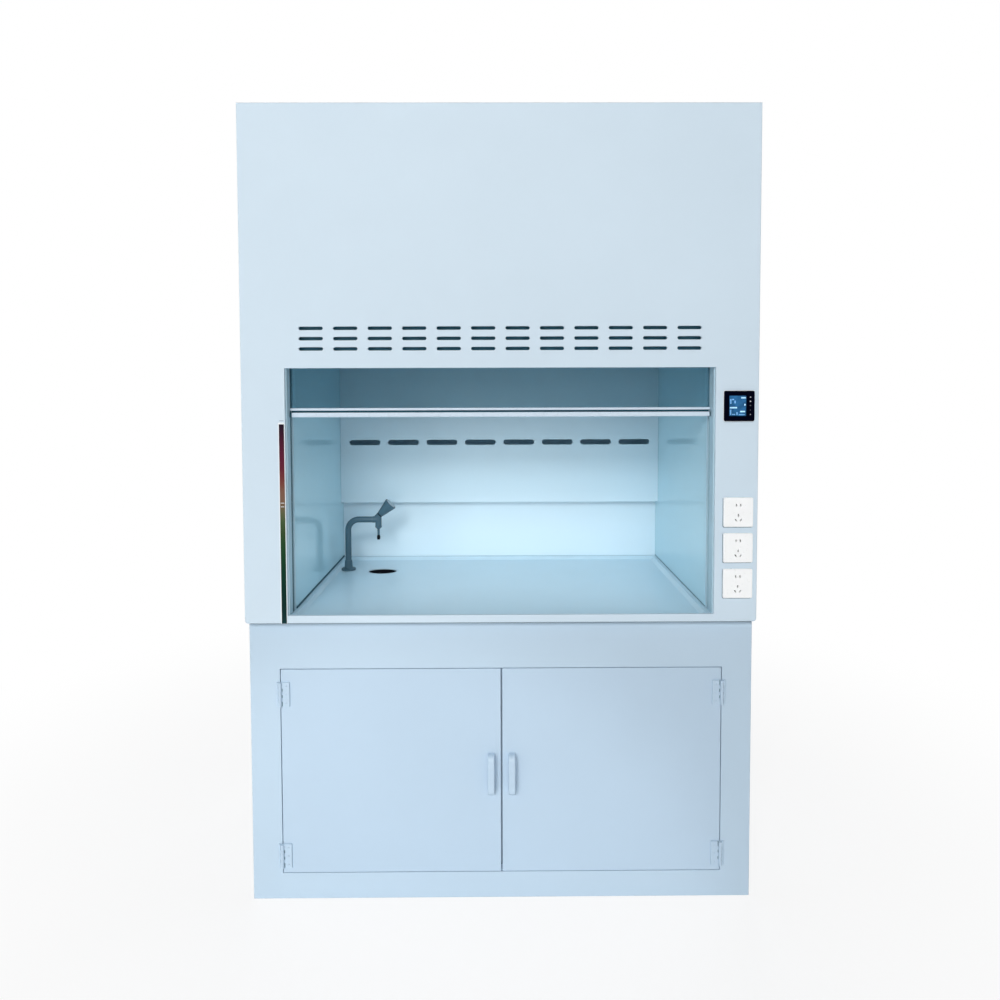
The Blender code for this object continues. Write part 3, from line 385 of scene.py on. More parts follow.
# height, sRGB colour of the graded print
STRIP_STOPS = [
    (0.850, (30, 64, 66)), (0.866, (18, 50, 50)), (0.905, (10, 46, 42)), (0.960, (10, 50, 40)),
    (1.005, (14, 58, 40)), (1.050, (26, 67, 37)), (1.085, (40, 74, 42)), (1.120, (58, 79, 46)),
    (1.150, (72, 92, 58)), (1.176, (98, 101, 70)), (1.196, (120, 100, 78)),
    (1.215, (130, 98, 80)), (1.240, (130, 92, 76)), (1.262, (126, 70, 62)),
    (1.285, (116, 52, 55)), (1.310, (104, 36, 52)), (1.345, (96, 28, 54)),
    (1.385, (76, 24, 46)), (1.410, (56, 20, 42)), (1.4345, (32, 22, 38))]
STRIP_GAIN = 0.84  # darkens the whole print


def strip_material():
    """A print that runs with height from green through orange to red."""
    look = Surface("height_strip_print", (0.1, 0.1, 0.1), roughness=0.40, specular=0.07)
    bottom, top = STRIP_STOPS[0][0], STRIP_STOPS[-1][0]
    height = look.node("ShaderNodeSeparateXYZ", look.coord).outputs[2]
    ramp = look.node("ShaderNodeValToRGB", look.remap(height, (bottom, top), (0, 1)))
    elements = ramp.color_ramp.elements
    for z, _ in STRIP_STOPS[1:-1]:
        elements.new((z - bottom) / (top - bottom))
    for element, (_, colour) in zip(elements, STRIP_STOPS):
        element.color = (*(STRIP_GAIN * v for v in to_linear(*colour)), 1)
    look.link(ramp.outputs[0], look.bsdf.inputs["Base Color"])
    look.vary_colour(look.noise(scale=300.0), 0.97, 1.03)
    look.vary_roughness(look.noise(scale=80.0), spread=0.06)


def lcd_material():
    """A cloudy back-lit panel with fine rows."""
    look = Surface("display_lcd", to_linear(33, 86, 130), roughness=0.2)
    look.vary_colour(look.noise(scale=55.0), 0.75, 1.25)
    rows = look.wave(scale=420.0, direction="Z")
    look.vary_colour(look.remap(rows, (0, 1), (0.35, 0.65)), 0.96, 1.04)
    look.glow(0.45)


def segment_material(name, colour, darkest, strength):
    look = Surface(name, colour, roughness=0.3)
    look.vary_colour(look.noise(scale=180.0), darkest, 1.1)
    look.glow(strength)


for row in SHEETS:
    sheet_material(*row)
for row in MOULDINGS:
    moulded_material(*row)
for row in METALS:
    metal_material(*row)
spangle_material()
opal_material()
glass_material()
glass_edge_material()
strip_material()
lcd_material()
segment_material("display_lcd_segments", to_linear(165, 210, 240), darkest=0.85, strength=0.45)
segment_material("display_lcd_segments_soft", to_linear(110, 165, 215), darkest=0.8,
                 strength=0.35)


# ---------------------------------------------------------------- adding pieces
def to_mesh(name, shape):
    bmesh.ops.recalc_face_normals(shape, faces=shape.faces[:])
    mesh = bpy.data.meshes.new(name)
    shape.to_mesh(mesh)
    shape.free()
    return mesh


def link_object(name, data):
    obj = bpy.data.objects.new(name, data)
    bpy.context.scene.collection.objects.link(obj)
    return obj


def add_mesh(name, mesh, materials, slot, node=None, body="cabinet", sharp=40):
    """Makes a mesh in world positions a piece that rides on a body and may replace a node."""
    mesh.materials.clear()
    for material in materials.split():
        mesh.materials.append(MATERIALS[material])
    mesh.shade_smooth()
    mesh.set_sharp_from_angle(angle=radians(sharp))
    obj = link_object(name, mesh)
    weighted = obj.modifiers.new("weighted_normal", "WEIGHTED_NORMAL")
    weighted.mode, weighted.weight, weighted.keep_sharp = "FACE_AREA", 60, True
    if body:
        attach(obj, body)
    if node:
        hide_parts(node)
    return obj


def add_piece(name, shape, *args, **kwargs):
    return add_mesh(name, to_mesh(name, shape), *args, **kwargs)


# ---------------------------------------------------------------- outlines
def wound(loop, ccw):
    """The outline turned to run counterclockwise or clockwise."""
    doubled = sum(a[0] * b[1] - b[0] * a[1] for a, b in zip(loop, loop[1:] + loop[:1]))
    return loop if (doubled > 0) == ccw else loop[::-1]


def inset(loop, distance):
    """Moves an outline towards the left of its direction."""
    if abs(distance) < 1e-9:
        return list(loop)
    moved = []
    for i, corner in enumerate(loop):
        before, here, after = Vector(loop[i - 1]), Vector(corner), Vector(loop[(i + 1) % len(loop)])
        a, b = (here - before).normalized(), (after - here).normalized()
        normal_a, normal_b = Vector((-a.y, a.x)), Vector((-b.y, b.x))
        mitre = normal_a + normal_b
        mitre = mitre.normalized() if mitre.length > 1e-6 else normal_a
        point = here + mitre * (distance / max(0.35, mitre.dot(normal_a)))
        moved.append((point.x, point.y))
    return moved


def rect(x0, x1, y0, y1):
    return [(x0, y0), (x1, y0), (x1, y1), (x0, y1)]


def arc(cx, cy, r, start, end, steps):
    angles = [radians(start + (end - start) * i / steps) for i in range(steps + 1)]
    return [(cx + r * cos(angle), cy + r * sin(angle)) for angle in angles]


def round_rect(x0, x1, y0, y1, r, steps=5):
    return (arc(x1 - r, y0 + r, r, -90, 0, steps) + arc(x1 - r, y1 - r, r, 0, 90, steps)
            + arc(x0 + r, y1 - r, r, 90, 180, steps) + arc(x0 + r, y0 + r, r, 180, 270, steps))


def square(cx, cy, half, r, steps=5):
    """A square about a centre, with rounded corners if r is given."""
    if not r:
        return rect(cx - half, cx + half, cy - half, cy + half)
    return round_rect(cx - half, cx + half, cy - half, cy + half, r, steps)


def slot_outline(cx, cy, length, height, steps=8):
    r = height / 2
    reach = length / 2 - r
    return arc(cx + reach, cy, r, -90, 90, steps) + arc(cx - reach, cy, r, 90, 270, steps)


def ellipse(cx, cy, rx, ry, count):
    angles = [2 * pi * i / count for i in range(count)]
    return [(cx + rx * cos(angle), cy + ry * sin(angle)) for angle in angles]


def circle(cx, cy, r, count):
    return ellipse(cx, cy, r, r, count)


def fillet(points, radii, steps=4):
    """Rounds the corners of an outline; radii is a number or one per corner."""
    rounded, count = [], len(points)
    radii = radii if isinstance(radii, (list, tuple)) else [radii] * count
    for i, r in enumerate(radii):
        corner, before, after = Vector(points[i]), Vector(points[i - 1]), Vector(points[(i + 1) % count])
        if r <= 0:
            rounded.append((corner.x, corner.y))
            continue
        u, v = (before - corner).normalized(), (after - corner).normalized()
        half = acos(max(-1, min(1, u.dot(v)))) / 2
        reach = r / tan(half)
        centre = corner + (u + v).normalized() * (r / sin(half))
        first, last = corner + u * reach - centre, corner + v * reach - centre
        start, end = atan2(first.y, first.x), atan2(last.y, last.x)
        while end - start > pi:
            end -= 2 * pi
        while end - start < -pi:
            end += 2 * pi
        angles = [start + (end - start) * k / steps for k in range(steps + 1)]
        rounded += [(centre.x + r * cos(angle), centre.y + r * sin(angle)) for angle in angles]
    return rounded


# ---------------------------------------------------------------- solids
AXES = {
    "x": lambda point, at: (at, point[0], point[1]),
    "y": lambda point, at: (point[0], at, point[1]),
    "z": lambda point, at: (point[0], point[1], at),
}


def ring_of(shape, points):
    return [shape.verts.new(point) for point in points]


def flat_ring(shape, outline, axis, at):
    """A ring of vertices in the plane at a place on an axis."""
    return ring_of(shape, [AXES[axis](point, at) for point in outline])


def join(shape, a, b):
    for i in range(len(a)):
        j = (i + 1) % len(a)
        shape.faces.new([a[i], a[j], b[j], b[i]])


def join_all(shape, rings, around=False):
    for a, b in zip(rings, rings[1:] + (rings[:1] if around else [])):
        join(shape, a, b)


def cover(shape, outlines, rings):
    """Closes flat rings, the first being the outline and the rest holes in it."""
    if len(rings) == 1 and len(rings[0]) <= 4:
        shape.faces.new(rings[0])
        return
    verts = [vert for ring in rings for vert in ring]
    for triangle in tessellate_polygon([[Vector((*p, 0)) for p in loop] for loop in outlines]):
        shape.faces.new([verts[i] for i in triangle])


def slab(loops, axis, front, back, front_rim=0.0, back_rim=0.0, steps=3, shape=None):
    """A plate with holes and rounded rims. front and back are places on the axis; the rims
    are radii at each face, a number or one per loop."""
    shape = shape or bmesh.new()
    sign = 1 if back > front else -1
    loops = [wound(list(loop), i == 0) for i, loop in enumerate(loops)]
    rims = [rim if isinstance(rim, list) else [rim] * len(loops) for rim in (front_rim, back_rim)]
    front_rings, back_rings, front_loops, back_loops = [], [], [], []
    for loop, r0, r1 in zip(loops, *rims):
        levels = []  # inset, place on the axis
        for r, face, inward, order in ((r0, front, sign, range(steps, -1, -1)),
                                       (r1, back, -sign, range(steps + 1))):
            if r > 0:
                angles = [k / steps * pi / 2 for k in order]
                levels += [(r * (1 - cos(t)), face + inward * r * (1 - sin(t))) for t in angles]
            else:
                levels.append((0.0, face))
        flat = [inset(loop, distance) for distance, _ in levels]
        rings = [flat_ring(shape, outline, axis, at) for outline, (_, at) in zip(flat, levels)]
        join_all(shape, rings)
        front_rings.append(rings[0])
        back_rings.append(rings[-1])
        front_loops.append(flat[0])
        back_loops.append(flat[-1])
    cover(shape, front_loops, front_rings)
    cover(shape, back_loops, back_rings)
    return shape


def panel(name, node, axis, material, slot, rims, flip=False, holes=()):
    """A sheet that fills a node's box. Its front face is the low one, or the high if flipped."""
    front, back = span(node, axis)[::-1 if flip else 1]
    outline = rect(*area(node, "xyz".replace(axis, "")))
    add_piece(name, slab([outline, *holes], axis, front, back, *rims), material, slot, node)


def skin(rings, around=False):
    """Joins rings of points; the ends are closed, or joined to each other."""
    shape = bmesh.new()
    rings = [ring_of(shape, ring) for ring in rings]
    join_all(shape, rings, around)
    if not around:
        shape.faces.new(rings[0][::-1])
        shape.faces.new(rings[-1])
    return shape


def lathe(profile, count, where=(0, 0, 0), direction=(0, 0, 1), around=False, wave=None):
    """Turns (radius, height) points about an axis; wave(angle, radius, height) may change
    the radius."""
    turn = Vector((0, 0, 1)).rotation_difference(Vector(direction).normalized())
    rings = []
    for r, height in profile:
        ring = []
        for i in range(count):
            angle = 2 * pi * i / count
            reach = wave(angle, r, height) if wave else r
            point = Vector((reach * cos(angle), reach * sin(angle), height))
            ring.append(Vector(where) + turn @ point)
        rings.append(ring)
    return skin(rings, around)


def path_rings(points, radius, count):
    """Rings across a path; radius is a number or a function of the point's index."""
    points = [Vector(point) for point in points]
    rings, up = [], None
    for i, point in enumerate(points):
        tangent = (points[min(i + 1, len(points) - 1)] - points[max(i - 1, 0)]).normalized()
        if up is None:
            up = Vector((0, 0, 1)) if abs(tangent.z) < 0.9 else Vector((1, 0, 0))
        up = (up - tangent * up.dot(tangent)).normalized()
        side = tangent.cross(up)
        r = radius(i) if callable(radius) else radius
        angles = [2 * pi * k / count for k in range(count)]
        rings.append([point + r * (up * cos(angle) + side * sin(angle)) for angle in angles])
    return rings


def tube(points, radius, count, bore=None):
    outer = path_rings(points, radius, count)
    if bore is None:
        return skin(outer)
    return skin(outer + path_rings(points, bore, count)[::-1], around=True)


def bend(before, corner, after, radius, steps):
    u, v = (before - corner).normalized(), (after - corner).normalized()
    half = acos(max(-1, min(1, u.dot(v)))) / 2
    centre = corner + (u + v).normalized() * (radius / sin(half))
    reach = radius / tan(half)
    first, last = corner + u * reach - centre, corner + v * reach - centre
    axis = first.cross(last).normalized()
    total = first.angle(last)
    return [centre + Matrix.Rotation(total * i / steps, 3, axis) @ first
            for i in range(steps + 1)]


def round_path(points, radius, steps):
    """A path whose corners are bent to a radius."""
    points = [Vector(point) for point in points]
    path = [points[0]]
    for corner in zip(points, points[1:], points[2:]):
        path += bend(*corner, radius, steps)
    return path + [points[-1]]


def along(points, step):
    """Adds points along straight runs of a path, about one per step."""
    path = [Vector(points[0])]
    for point in points[1:]:
        point, start = Vector(point), path[-1].copy()
        count = max(1, int((point - start).length / step))
        path += [start.lerp(point, i / count) for i in range(1, count + 1)]
    return path


def boolean(label, operation, shapes):
    """The union of closed shapes, or the first less the rest, as one clean mesh."""
    objects = []
    for i, shape in enumerate(shapes):
        name = "%s%d" % (label, i)
        objects.append(link_object(name, to_mesh(name, shape)))
    target = objects[0]
    for tool in objects[1:]:
        step = target.modifiers.new("m", "BOOLEAN")
        step.operation, step.solver, step.object = operation, "EXACT", tool
    bpy.context.view_layer.update()
    graph = bpy.context.evaluated_depsgraph_get()
    mesh = bpy.data.meshes.new_from_object(target.evaluated_get(graph), depsgraph=graph)
    for obj in objects:
        bpy.data.objects.remove(obj, do_unlink=True)
    clean = bmesh.new()
    clean.from_mesh(mesh)
    bmesh.ops.remove_doubles(clean, verts=clean.verts[:], dist=0.00002)
    bmesh.ops.recalc_face_normals(clean, faces=clean.faces[:])
    clean.to_mesh(mesh)
    clean.free()
    return mesh


# ---------------------------------------------------------------- weld beads
def ripple(distance, pitch=BEAD_PITCH):
    """The overlapping scales of a hand-laid weld bead."""
    return 0.90 + 0.10 * sin(pi * ((distance / pitch) % 1.0)) + 0.02 * sin(distance * 37.0)


def bead_section(corner, a, b, r):
    """A quarter-round section between two sheets that run along a and b."""
    corner = corner + (a + b) * 0.0002
    return [corner] + [corner + (a * cos(t) + b * sin(t)) * r * (1 - 0.20 * sin(2 * t))
                       for t in np.linspace(0, pi / 2, 6)]


def bead_stations(start, end):
    """Points along a straight bead, with the size of the bead at each."""
    length = (end - start).length
    count = max(4, int(length / (BEAD_PITCH / 4)))
    return [(start.lerp(end, i / count), ripple(length * i / count)) for i in range(count + 1)]


def add_bead(name, rings, around=False):
    add_piece(name, skin(rings, around), "pp_weld_bead", "pp_sheet")


def corner_bead(name, start, end, a, b, r=0.0045):
    """A bead in an inner corner; a and b point along the sheets, away from the corner."""
    a, b = Vector(a), Vector(b)
    add_bead(name, [bead_section(point, a, b, r * size)
                    for point, size in bead_stations(Vector(start), Vector(end))])


def flat_bead(name, start, end, out, width, height):
    """A bead laid along a flush seam."""
    start, end, out = Vector(start), Vector(end), Vector(out)
    side = (end - start).normalized().cross(out)
    add_bead(name, [[point + side * (width / 2 * cos(t) * (0.9 + 0.1 * size))
                     + out * (0.0001 + height * sin(t) * size) for t in np.linspace(0, pi, 7)]
                    for point, size in bead_stations(start, end)])


def ring_bead(name, radius, z, r):
    """A bead round the foot of a disc or tube about the duct's axis."""
    length = 2 * pi * radius
    count = int(length / (BEAD_PITCH / 4))
    pitch = length / round(length / BEAD_PITCH)
    up = Vector((0, 0, 1))
    rings = []
    for i in range(count):
        angle = 2 * pi * i / count
        out = Vector((cos(angle), sin(angle), 0))
        foot = Vector((0, DUCT_Y, z)) + out * radius
        rings.append(bead_section(foot, out, up, r * ripple(length * i / count, pitch)))
    add_bead(name, rings, around=True)


def side_seams(name, sign, x, rear_y, front_y, bottom, top):
    """Upright beads on an outer side wall, where it meets the rear and the front."""
    for end, y, width, height in (("rear", rear_y, 0.0050, 0.0012),
                                  ("front", front_y, 0.0030, 0.0005)):
        flat_bead(name % end, (x, y, bottom), (x, y, top), (sign, 0, 0), width, height)


# ---------------------------------------------------------------- casing
def build_fascia():
    vents = [slot_outline((column - (VENT_COLUMNS - 1) / 2) * VENT_PITCH,
                          VENT_Z + (row - 1) * VENT_ROW_PITCH, VENT_LENGTH, VENT_HEIGHT)
             for column in range(VENT_COLUMNS) for row in range(VENT_ROWS)]
    cutouts = [square(PANEL_X, DISPLAY_Z, 0.040, 0)]
    cutouts += [square(PANEL_X, z, 0.034, 0) for z in SOCKETS.values()]
    outline = fillet(rect(-HALF_WIDTH, HALF_WIDTH, HOOD_LOW, HOOD_TOP), [0.0095, 0.0095, 0, 0], 7)
    opening = round_rect(-OPEN_HALF, OPEN_HALF, OPEN_LOW, OPEN_HIGH, 0.0012, 2)
    rims = [0.0045, 0.0012] + [0.0012] * len(vents) + [0.0] * len(cutouts)
    shape = slab([outline, opening, *vents, *cutouts], "y", FRONT, FASCIA_BACK, rims, 0.0, 4)
    add_piece("casing_front", shape, "pp_casing", "pp_sheet", "front_fascia")


def build_casing_sides():
    y0, y1 = span("left_outer_side", "y")
    for side, sign in SIDES:
        node = side + "_outer_side"
        outer, inner = span(node, "x")[::-sign]
        # the lower outer edge is rounded along the whole depth
        low_edge = min(0.0085, abs(outer - inner) - 0.0008)
        outline = fillet(rect(inner, outer, HOOD_LOW, HOOD_TOP), [0.0004, low_edge, 0.0012, 0.0004], 7)
        add_piece("casing_" + side + "_side", slab([outline], "y", y0, y1, 0.0004, 0.0012),
                  "pp_casing", "pp_sheet", node)
        side_seams("weld_" + side + "_%s_seam", sign, outer, y1 + 0.0002, y0 - 0.0001,
                   HOOD_LOW + 0.010, HOOD_TOP - 0.004)


def build_roof():
    x, (y0, y1) = high("hood_roof", "x"), span("hood_roof", "y")
    loops = [rect(-x, x, y0, y1), circle(0, DUCT_Y, DUCT_R - DUCT_WALL, 96)]
    shape = slab(loops, "z", HOOD_TOP, low("hood_roof", "z"), [0.0008, 0.001], [0.0, 0.0006])
    add_piece("casing_roof", shape, "pp_casing", "pp_sheet", "hood_roof")
    edge = x - 0.005
    for end, start, stop, width, height in (
            ("left", (-x, y0 + 0.006), (-x, y1 - 0.004), 0.0050, 0.0012),
            ("right", (x, y0 + 0.006), (x, y1 - 0.004), 0.0050, 0.0012),
            ("rear", (-edge, y1), (edge, y1), 0.0050, 0.0012),
            ("front", (-edge, y0), (edge, y0), 0.0040, 0.0010)):
        flat_bead("weld_roof_" + end, (*start, HOOD_TOP), (*stop, HOOD_TOP), (0, 0, 1),
                  width, height)


def build_collar():
    """The exhaust collar: a tube with a rounded lip on a welded flange."""
    bottom, top = span("exhaust_collar", "z")
    flange_top, bore = bottom + DUCT_FLANGE_T, DUCT_R - DUCT_WALL
    profile = fillet([(bore, bottom), (DUCT_FLANGE_R, bottom), (DUCT_FLANGE_R, flange_top),
                      (DUCT_R, flange_top), (DUCT_R, top), (bore, top)],
                     [0.0, 0.0008, 0.0022, 0.0020, 0.0018, 0.0018])
    add_piece("collar", lathe(profile, 128, (0, DUCT_Y, 0), around=True), "pp_casing",
              "pp_sheet", "exhaust_collar")
    ring_bead("weld_collar_flange", DUCT_FLANGE_R, HOOD_TOP, 0.0040)
    ring_bead("weld_collar_tube", DUCT_R, flange_top, 0.0050)


build_fascia()
build_casing_sides()
panel("casing_back", "hood_back_panel", "y", "pp_casing", "pp_sheet", (0.0030, 0.0, 4), flip=True)
build_roof()
build_collar()


# ---------------------------------------------------------------- worktop and cup sink
def build_worktop():
    """The working surface, dished inside a raised border."""
    x0, x1, y0, y1 = area("worktop", "xy")
    dish_x, dish_y0, dish_y1 = WALL_IN - 0.026, y0 + 0.012, LOWER_BAFFLE_Y - 0.026
    depth = CURB_Z - WORK_Z
    steps = 6
    shape = bmesh.new()

    def border(inward):
        return round_rect(x0 + inward, x1 - inward, y0 + inward, y1 - inward, 0.0008, steps)

    def dish(grow, r):
        return round_rect(-dish_x - grow, dish_x + grow, dish_y0 - grow * 0.5, dish_y1 + grow, r,
                          steps)

    floor_loop = round_rect(-dish_x + 0.0036, dish_x - 0.0036, dish_y0 + 0.0018,
                            dish_y1 - 0.0036, 0.009, steps)
    levels = [(border(0), HOOD_LOW), (border(0), CURB_Z - 0.0006),
              (border(0.0003), CURB_Z - 0.0001), (border(0.0010), CURB_Z),
              (dish(depth + 0.0022, 0.020), CURB_Z), (dish(depth + 0.0010, 0.019), CURB_Z - 0.0004),
              (dish(depth - 0.0004, 0.018), CURB_Z - 0.0014),
              (dish(0.0022, 0.012), WORK_Z + 0.0022), (dish(0.0006, 0.0105), WORK_Z + 0.0009),
              (dish(-0.0014, 0.010), WORK_Z + 0.0002), (floor_loop, WORK_Z)]
    rings = [flat_ring(shape, loop, "z", z) for loop, z in levels]
    join_all(shape, rings)

    top_rings, top_loops, low_rings, low_loops = [rings[-1]], [floor_loop], [rings[0]], [border(0)]
    rim = 0.0006
    cup_hole = ellipse(CUP_X + CUP_DX, CUP_Y + CUP_DY, CUP_RX + GAP, CUP_RY + GAP, 64)
    for loop in (cup_hole, circle(TAP_X, TAP_Y, 0.0125, 32)):
        loop = wound(loop, False)
        wide = inset(loop, rim)
        hole = [flat_ring(shape, outline, "z", z)
                for outline, z in ((wide, WORK_Z), (loop, WORK_Z - rim), (loop, HOOD_LOW))]
        join_all(shape, hole)
        top_rings.append(hole[0])
        top_loops.append(wide)
        low_rings.append(hole[-1])
        low_loops.append(loop)
    cover(shape, top_loops, top_rings)
    cover(shape, low_loops, low_rings)
    add_piece("work_surface", shape, "pp_worktop", "pp_lining", "worktop")


def cup_ring(rx, ry, z):
    """An oval that shifts from the drain's axis to the mouth's as it rises."""
    share = min(1.0, max(0.0, (z - 0.78) / 0.075))
    outline = ellipse(CUP_X + CUP_DX * share, CUP_Y + CUP_DY * share, rx, ry, 72)
    return [(x, y, z) for x, y in outline]


# radius growth over the cup's, height
CUP_RIM = fillet([(-0.0006, SEAT_Z - 0.0024), (-0.0006, SEAT_Z - 0.00001), (0.0040, SEAT_Z),
                  (0.0036, SEAT_Z + 0.0008), (-0.0014, SEAT_Z + 0.0010),
                  (-0.0014, SEAT_Z - 0.0024)], [0, 0, 0.0003, 0.0004, 0.0006, 0], 3)
# x radius, y radius, height: down the outside and up the inside
CUP_BOWL = (
    (CUP_RX - 0.0006, CUP_RY - 0.0006, SEAT_Z - 0.0026), (CUP_RX - 0.0014, CUP_RY - 0.0014, 0.840),
    (CUP_RX - 0.0034, CUP_RY - 0.0034, 0.800), (CUP_RX - 0.0060, CUP_RY - 0.0050, 0.788),
    (CUP_RX - 0.0160, CUP_RY - 0.0090, 0.774), (0.0200, 0.0185, 0.762), (0.0180, 0.0180, 0.755),
    (0.0180, 0.0180, 0.715), (0.0155, 0.0155, 0.715), (0.0155, 0.0155, 0.757),
    (0.0180, 0.0165, 0.7635), (CUP_RX - 0.0180, CUP_RY - 0.0110, 0.7765),
    (CUP_RX - 0.0080, CUP_RY - 0.0070, 0.790), (CUP_RX - 0.0054, CUP_RY - 0.0054, 0.801),
    (CUP_RX - 0.0034, CUP_RY - 0.0034, 0.840), (CUP_RX - 0.0020, CUP_RY - 0.0020, SEAT_Z - 0.0026))


def build_cup():
    rings = [cup_ring(CUP_RX + grow, CUP_RY + grow, z) for grow, z in CUP_RIM]
    add_piece("cup_rim", skin(rings, around=True), "pp_cup_rim", "pp_moulding")
    rings = [cup_ring(*station) for station in CUP_BOWL]
    add_piece("cup_bowl", skin(rings, around=True), "tap_black_rubber", "pp_moulding", "cup_sink")
    loops = [circle(CUP_X, CUP_Y, 0.0153, 48)]
    loops += [circle(CUP_X + 0.0095 * cos(t), CUP_Y + 0.0095 * sin(t), 0.0022, 12)
              for t in np.linspace(0, 2 * pi, 7)[:-1]]
    loops.append(circle(CUP_X, CUP_Y, 0.0026, 12))
    add_piece("cup_strainer", slab(loops, "z", 0.7560, 0.7535, 0.0004), "cable_steel", "stainless")


def trap_grip(angle, r, height):
    return r + 0.0007 * cos(16 * angle) if 0.004 < height < 0.018 else r


def build_trap():
    """The drain trap and its joint nuts."""
    low_z, out_z = 0.560, 0.650
    path = round_path([(CUP_X, CUP_Y, 0.715 - GAP), (CUP_X, CUP_Y, low_z),
                       (CUP_X, CUP_Y + 0.080, low_z), (CUP_X, CUP_Y + 0.080, out_z),
                       (CUP_X, high("sink_trap", "y"), out_z)], 0.038, 12)
    add_piece("drain_trap", tube(path, 0.0185, 40, 0.0150), "trap_grey", "grey_hose", "sink_trap")
    profile = [(0.0187, 0.0), (0.0225, 0.0), (0.0235, 0.001), (0.0238, 0.006), (0.0238, 0.016),
               (0.0235, 0.021), (0.0225, 0.022), (0.0187, 0.022)]
    places = (((CUP_X, CUP_Y, 0.690), (0, 0, 1)), ((CUP_X, CUP_Y, 0.600), (0, 0, 1)),
              ((CUP_X, CUP_Y + 0.130, out_z), (0, 1, 0)))
    for i, (where, direction) in enumerate(places):
        add_piece("trap_nut_%d" % (i + 1),
                  lathe(profile, 96, where, direction, around=True, wave=trap_grip),
                  "trap_grey", "grey_hose")


build_worktop()
build_cup()
build_trap()


# ---------------------------------------------------------------- chamber lining
def build_upper_baffle():
    """A slotted sheet, folded towards the front near its top; drawn flat and then bent."""
    half_width, bottom = high("upper_baffle", "x"), low("upper_baffle", "z")
    tip_z = CEILING_Z - GAP - 0.004
    slope = Vector((BAFFLE_TIP_Y - BAFFLE_Y, tip_z - BAFFLE_BEND_Z))
    lean = atan2(-slope.x, slope.y)
    loops = [rect(-half_width, half_width, bottom, BAFFLE_BEND_Z + slope.length)]
    loops += [slot_outline((i - 3.5) * 0.150, 1.329, 0.120, 0.020, 12) for i in range(8)]
    shape = slab(loops, "y", 0.0, BAFFLE_T, 0.0010, 0.0006)
    fold_z = BAFFLE_BEND_Z - BAFFLE_BEND_R * tan(lean / 2)
    fold_length = BAFFLE_BEND_R * lean
    cuts = 6
    for i in range(cuts + 1):
        bmesh.ops.bisect_plane(shape, geom=shape.verts[:] + shape.edges[:] + shape.faces[:],
                               dist=1e-7, plane_co=(0, 0, fold_z + fold_length * i / cuts),
                               plane_no=(0, 0, 1))
    for vert in shape.verts:
        x, depth, height = vert.co
        if height <= fold_z + 1e-9:
            vert.co = (x, BAFFLE_Y + depth, height)
            continue
        angle = min((height - fold_z) / BAFFLE_BEND_R, lean)
        rest = max(0.0, height - fold_z - fold_length)
        # the centre of the fold is in front of the sheet
        r = BAFFLE_BEND_R + depth
        vert.co = (x, BAFFLE_Y - BAFFLE_BEND_R + r * cos(angle) - rest * sin(angle),
                   fold_z + r * sin(angle) + rest * cos(angle))
    add_piece("baffle_upper", shape, "pp_baffle", "pp_lining", "upper_baffle")


panel("liner_left", "left_inner_liner", "x", "pp_liner_gloss", "pp_lining", (0.0010, 0.0), flip=True)
panel("liner_right", "right_inner_liner", "x", "pp_liner_gloss", "pp_lining", (0.0010, 0.0),
      holes=[circle(LOOM_PASS_Y, LOOM_PASS_Z, 0.011, 32)])
build_upper_baffle()
panel("baffle_lower", "lower_baffle", "y", "pp_baffle", "pp_lining", (0.0010, 0.0006))
add_piece("lamp_cover", slab([round_rect(*area("lamp_diffuser", "xy"), 0.006)], "z",
                             *span("lamp_diffuser", "z"), 0.0018, 0.0005),
          "opal_diffuser", "opal_diffuser", "lamp_diffuser")


# ---------------------------------------------------------------- sash guides and seals
def build_guides():
    bottom, top = span("right_sash_track", "z")
    edge_x, groove_x, outer_x, groove = 0.620, 0.6445, 0.648, 0.0055
    outline = fillet([(edge_x, -0.4165), (outer_x, -0.4165), (outer_x, -0.3500),
                      (edge_x, -0.3500), (edge_x, SASH_Y + groove), (groove_x, SASH_Y + groove),
                      (groove_x, SASH_Y - groove), (edge_x, SASH_Y - groove)],
                     [0.0012, 0.0006, 0.0006, 0.0012, 0.0008, 0.0004, 0.0004, 0.0008], 3)
    # the guides' darker colour is painted shade from the opening's edge
    for side, sign in SIDES[::-1]:
        loop = [(sign * x, y) for x, y in outline]
        add_piece("guide_" + side, slab([loop], "z", bottom, top, 0.0003, 0.0003), "pp_track_painted_shade",
                  "pp_sheet", side + "_sash_track")
    # the left seal is dark as painted shade on the left jamb and the right one pale as painted light on
    # the right jamb
    for (side, sign), material in zip(SIDES, ("rubber_and_painted_shade", "seal_painted_lit")):
        x0, x1 = sorted((sign * 0.6195, sign * 0.6201))
        loop = round_rect(x0, x1, -0.3850, -0.3765, 0.0002, 2)
        add_piece("guide_seal_" + side,
                  slab([loop], "z", bottom + 0.001, top - 0.001, 0.0002, 0.0002),
                  material, "pp_sheet")


# (reach from the wall, height), then corner radii
LEFT_SEALANT = fillet([(0.0, 0.0), (0.0036, 0.0), (0.0034, 0.0012), (0.0018, 0.0036),
                       (0.0006, 0.0054), (0.0, 0.0056)], [0, 0.0004, 0.001, 0.002, 0.0006, 0], 3)
RIGHT_SEALANT = fillet([(0.0, 0.0), (0.0016, 0.0), (0.0015, 0.0010), (0.0008, 0.0022),
                        (0.0003, 0.0034), (0.0, 0.0035)], [0, 0.0002, 0.0006, 0.001, 0.0003, 0], 3)


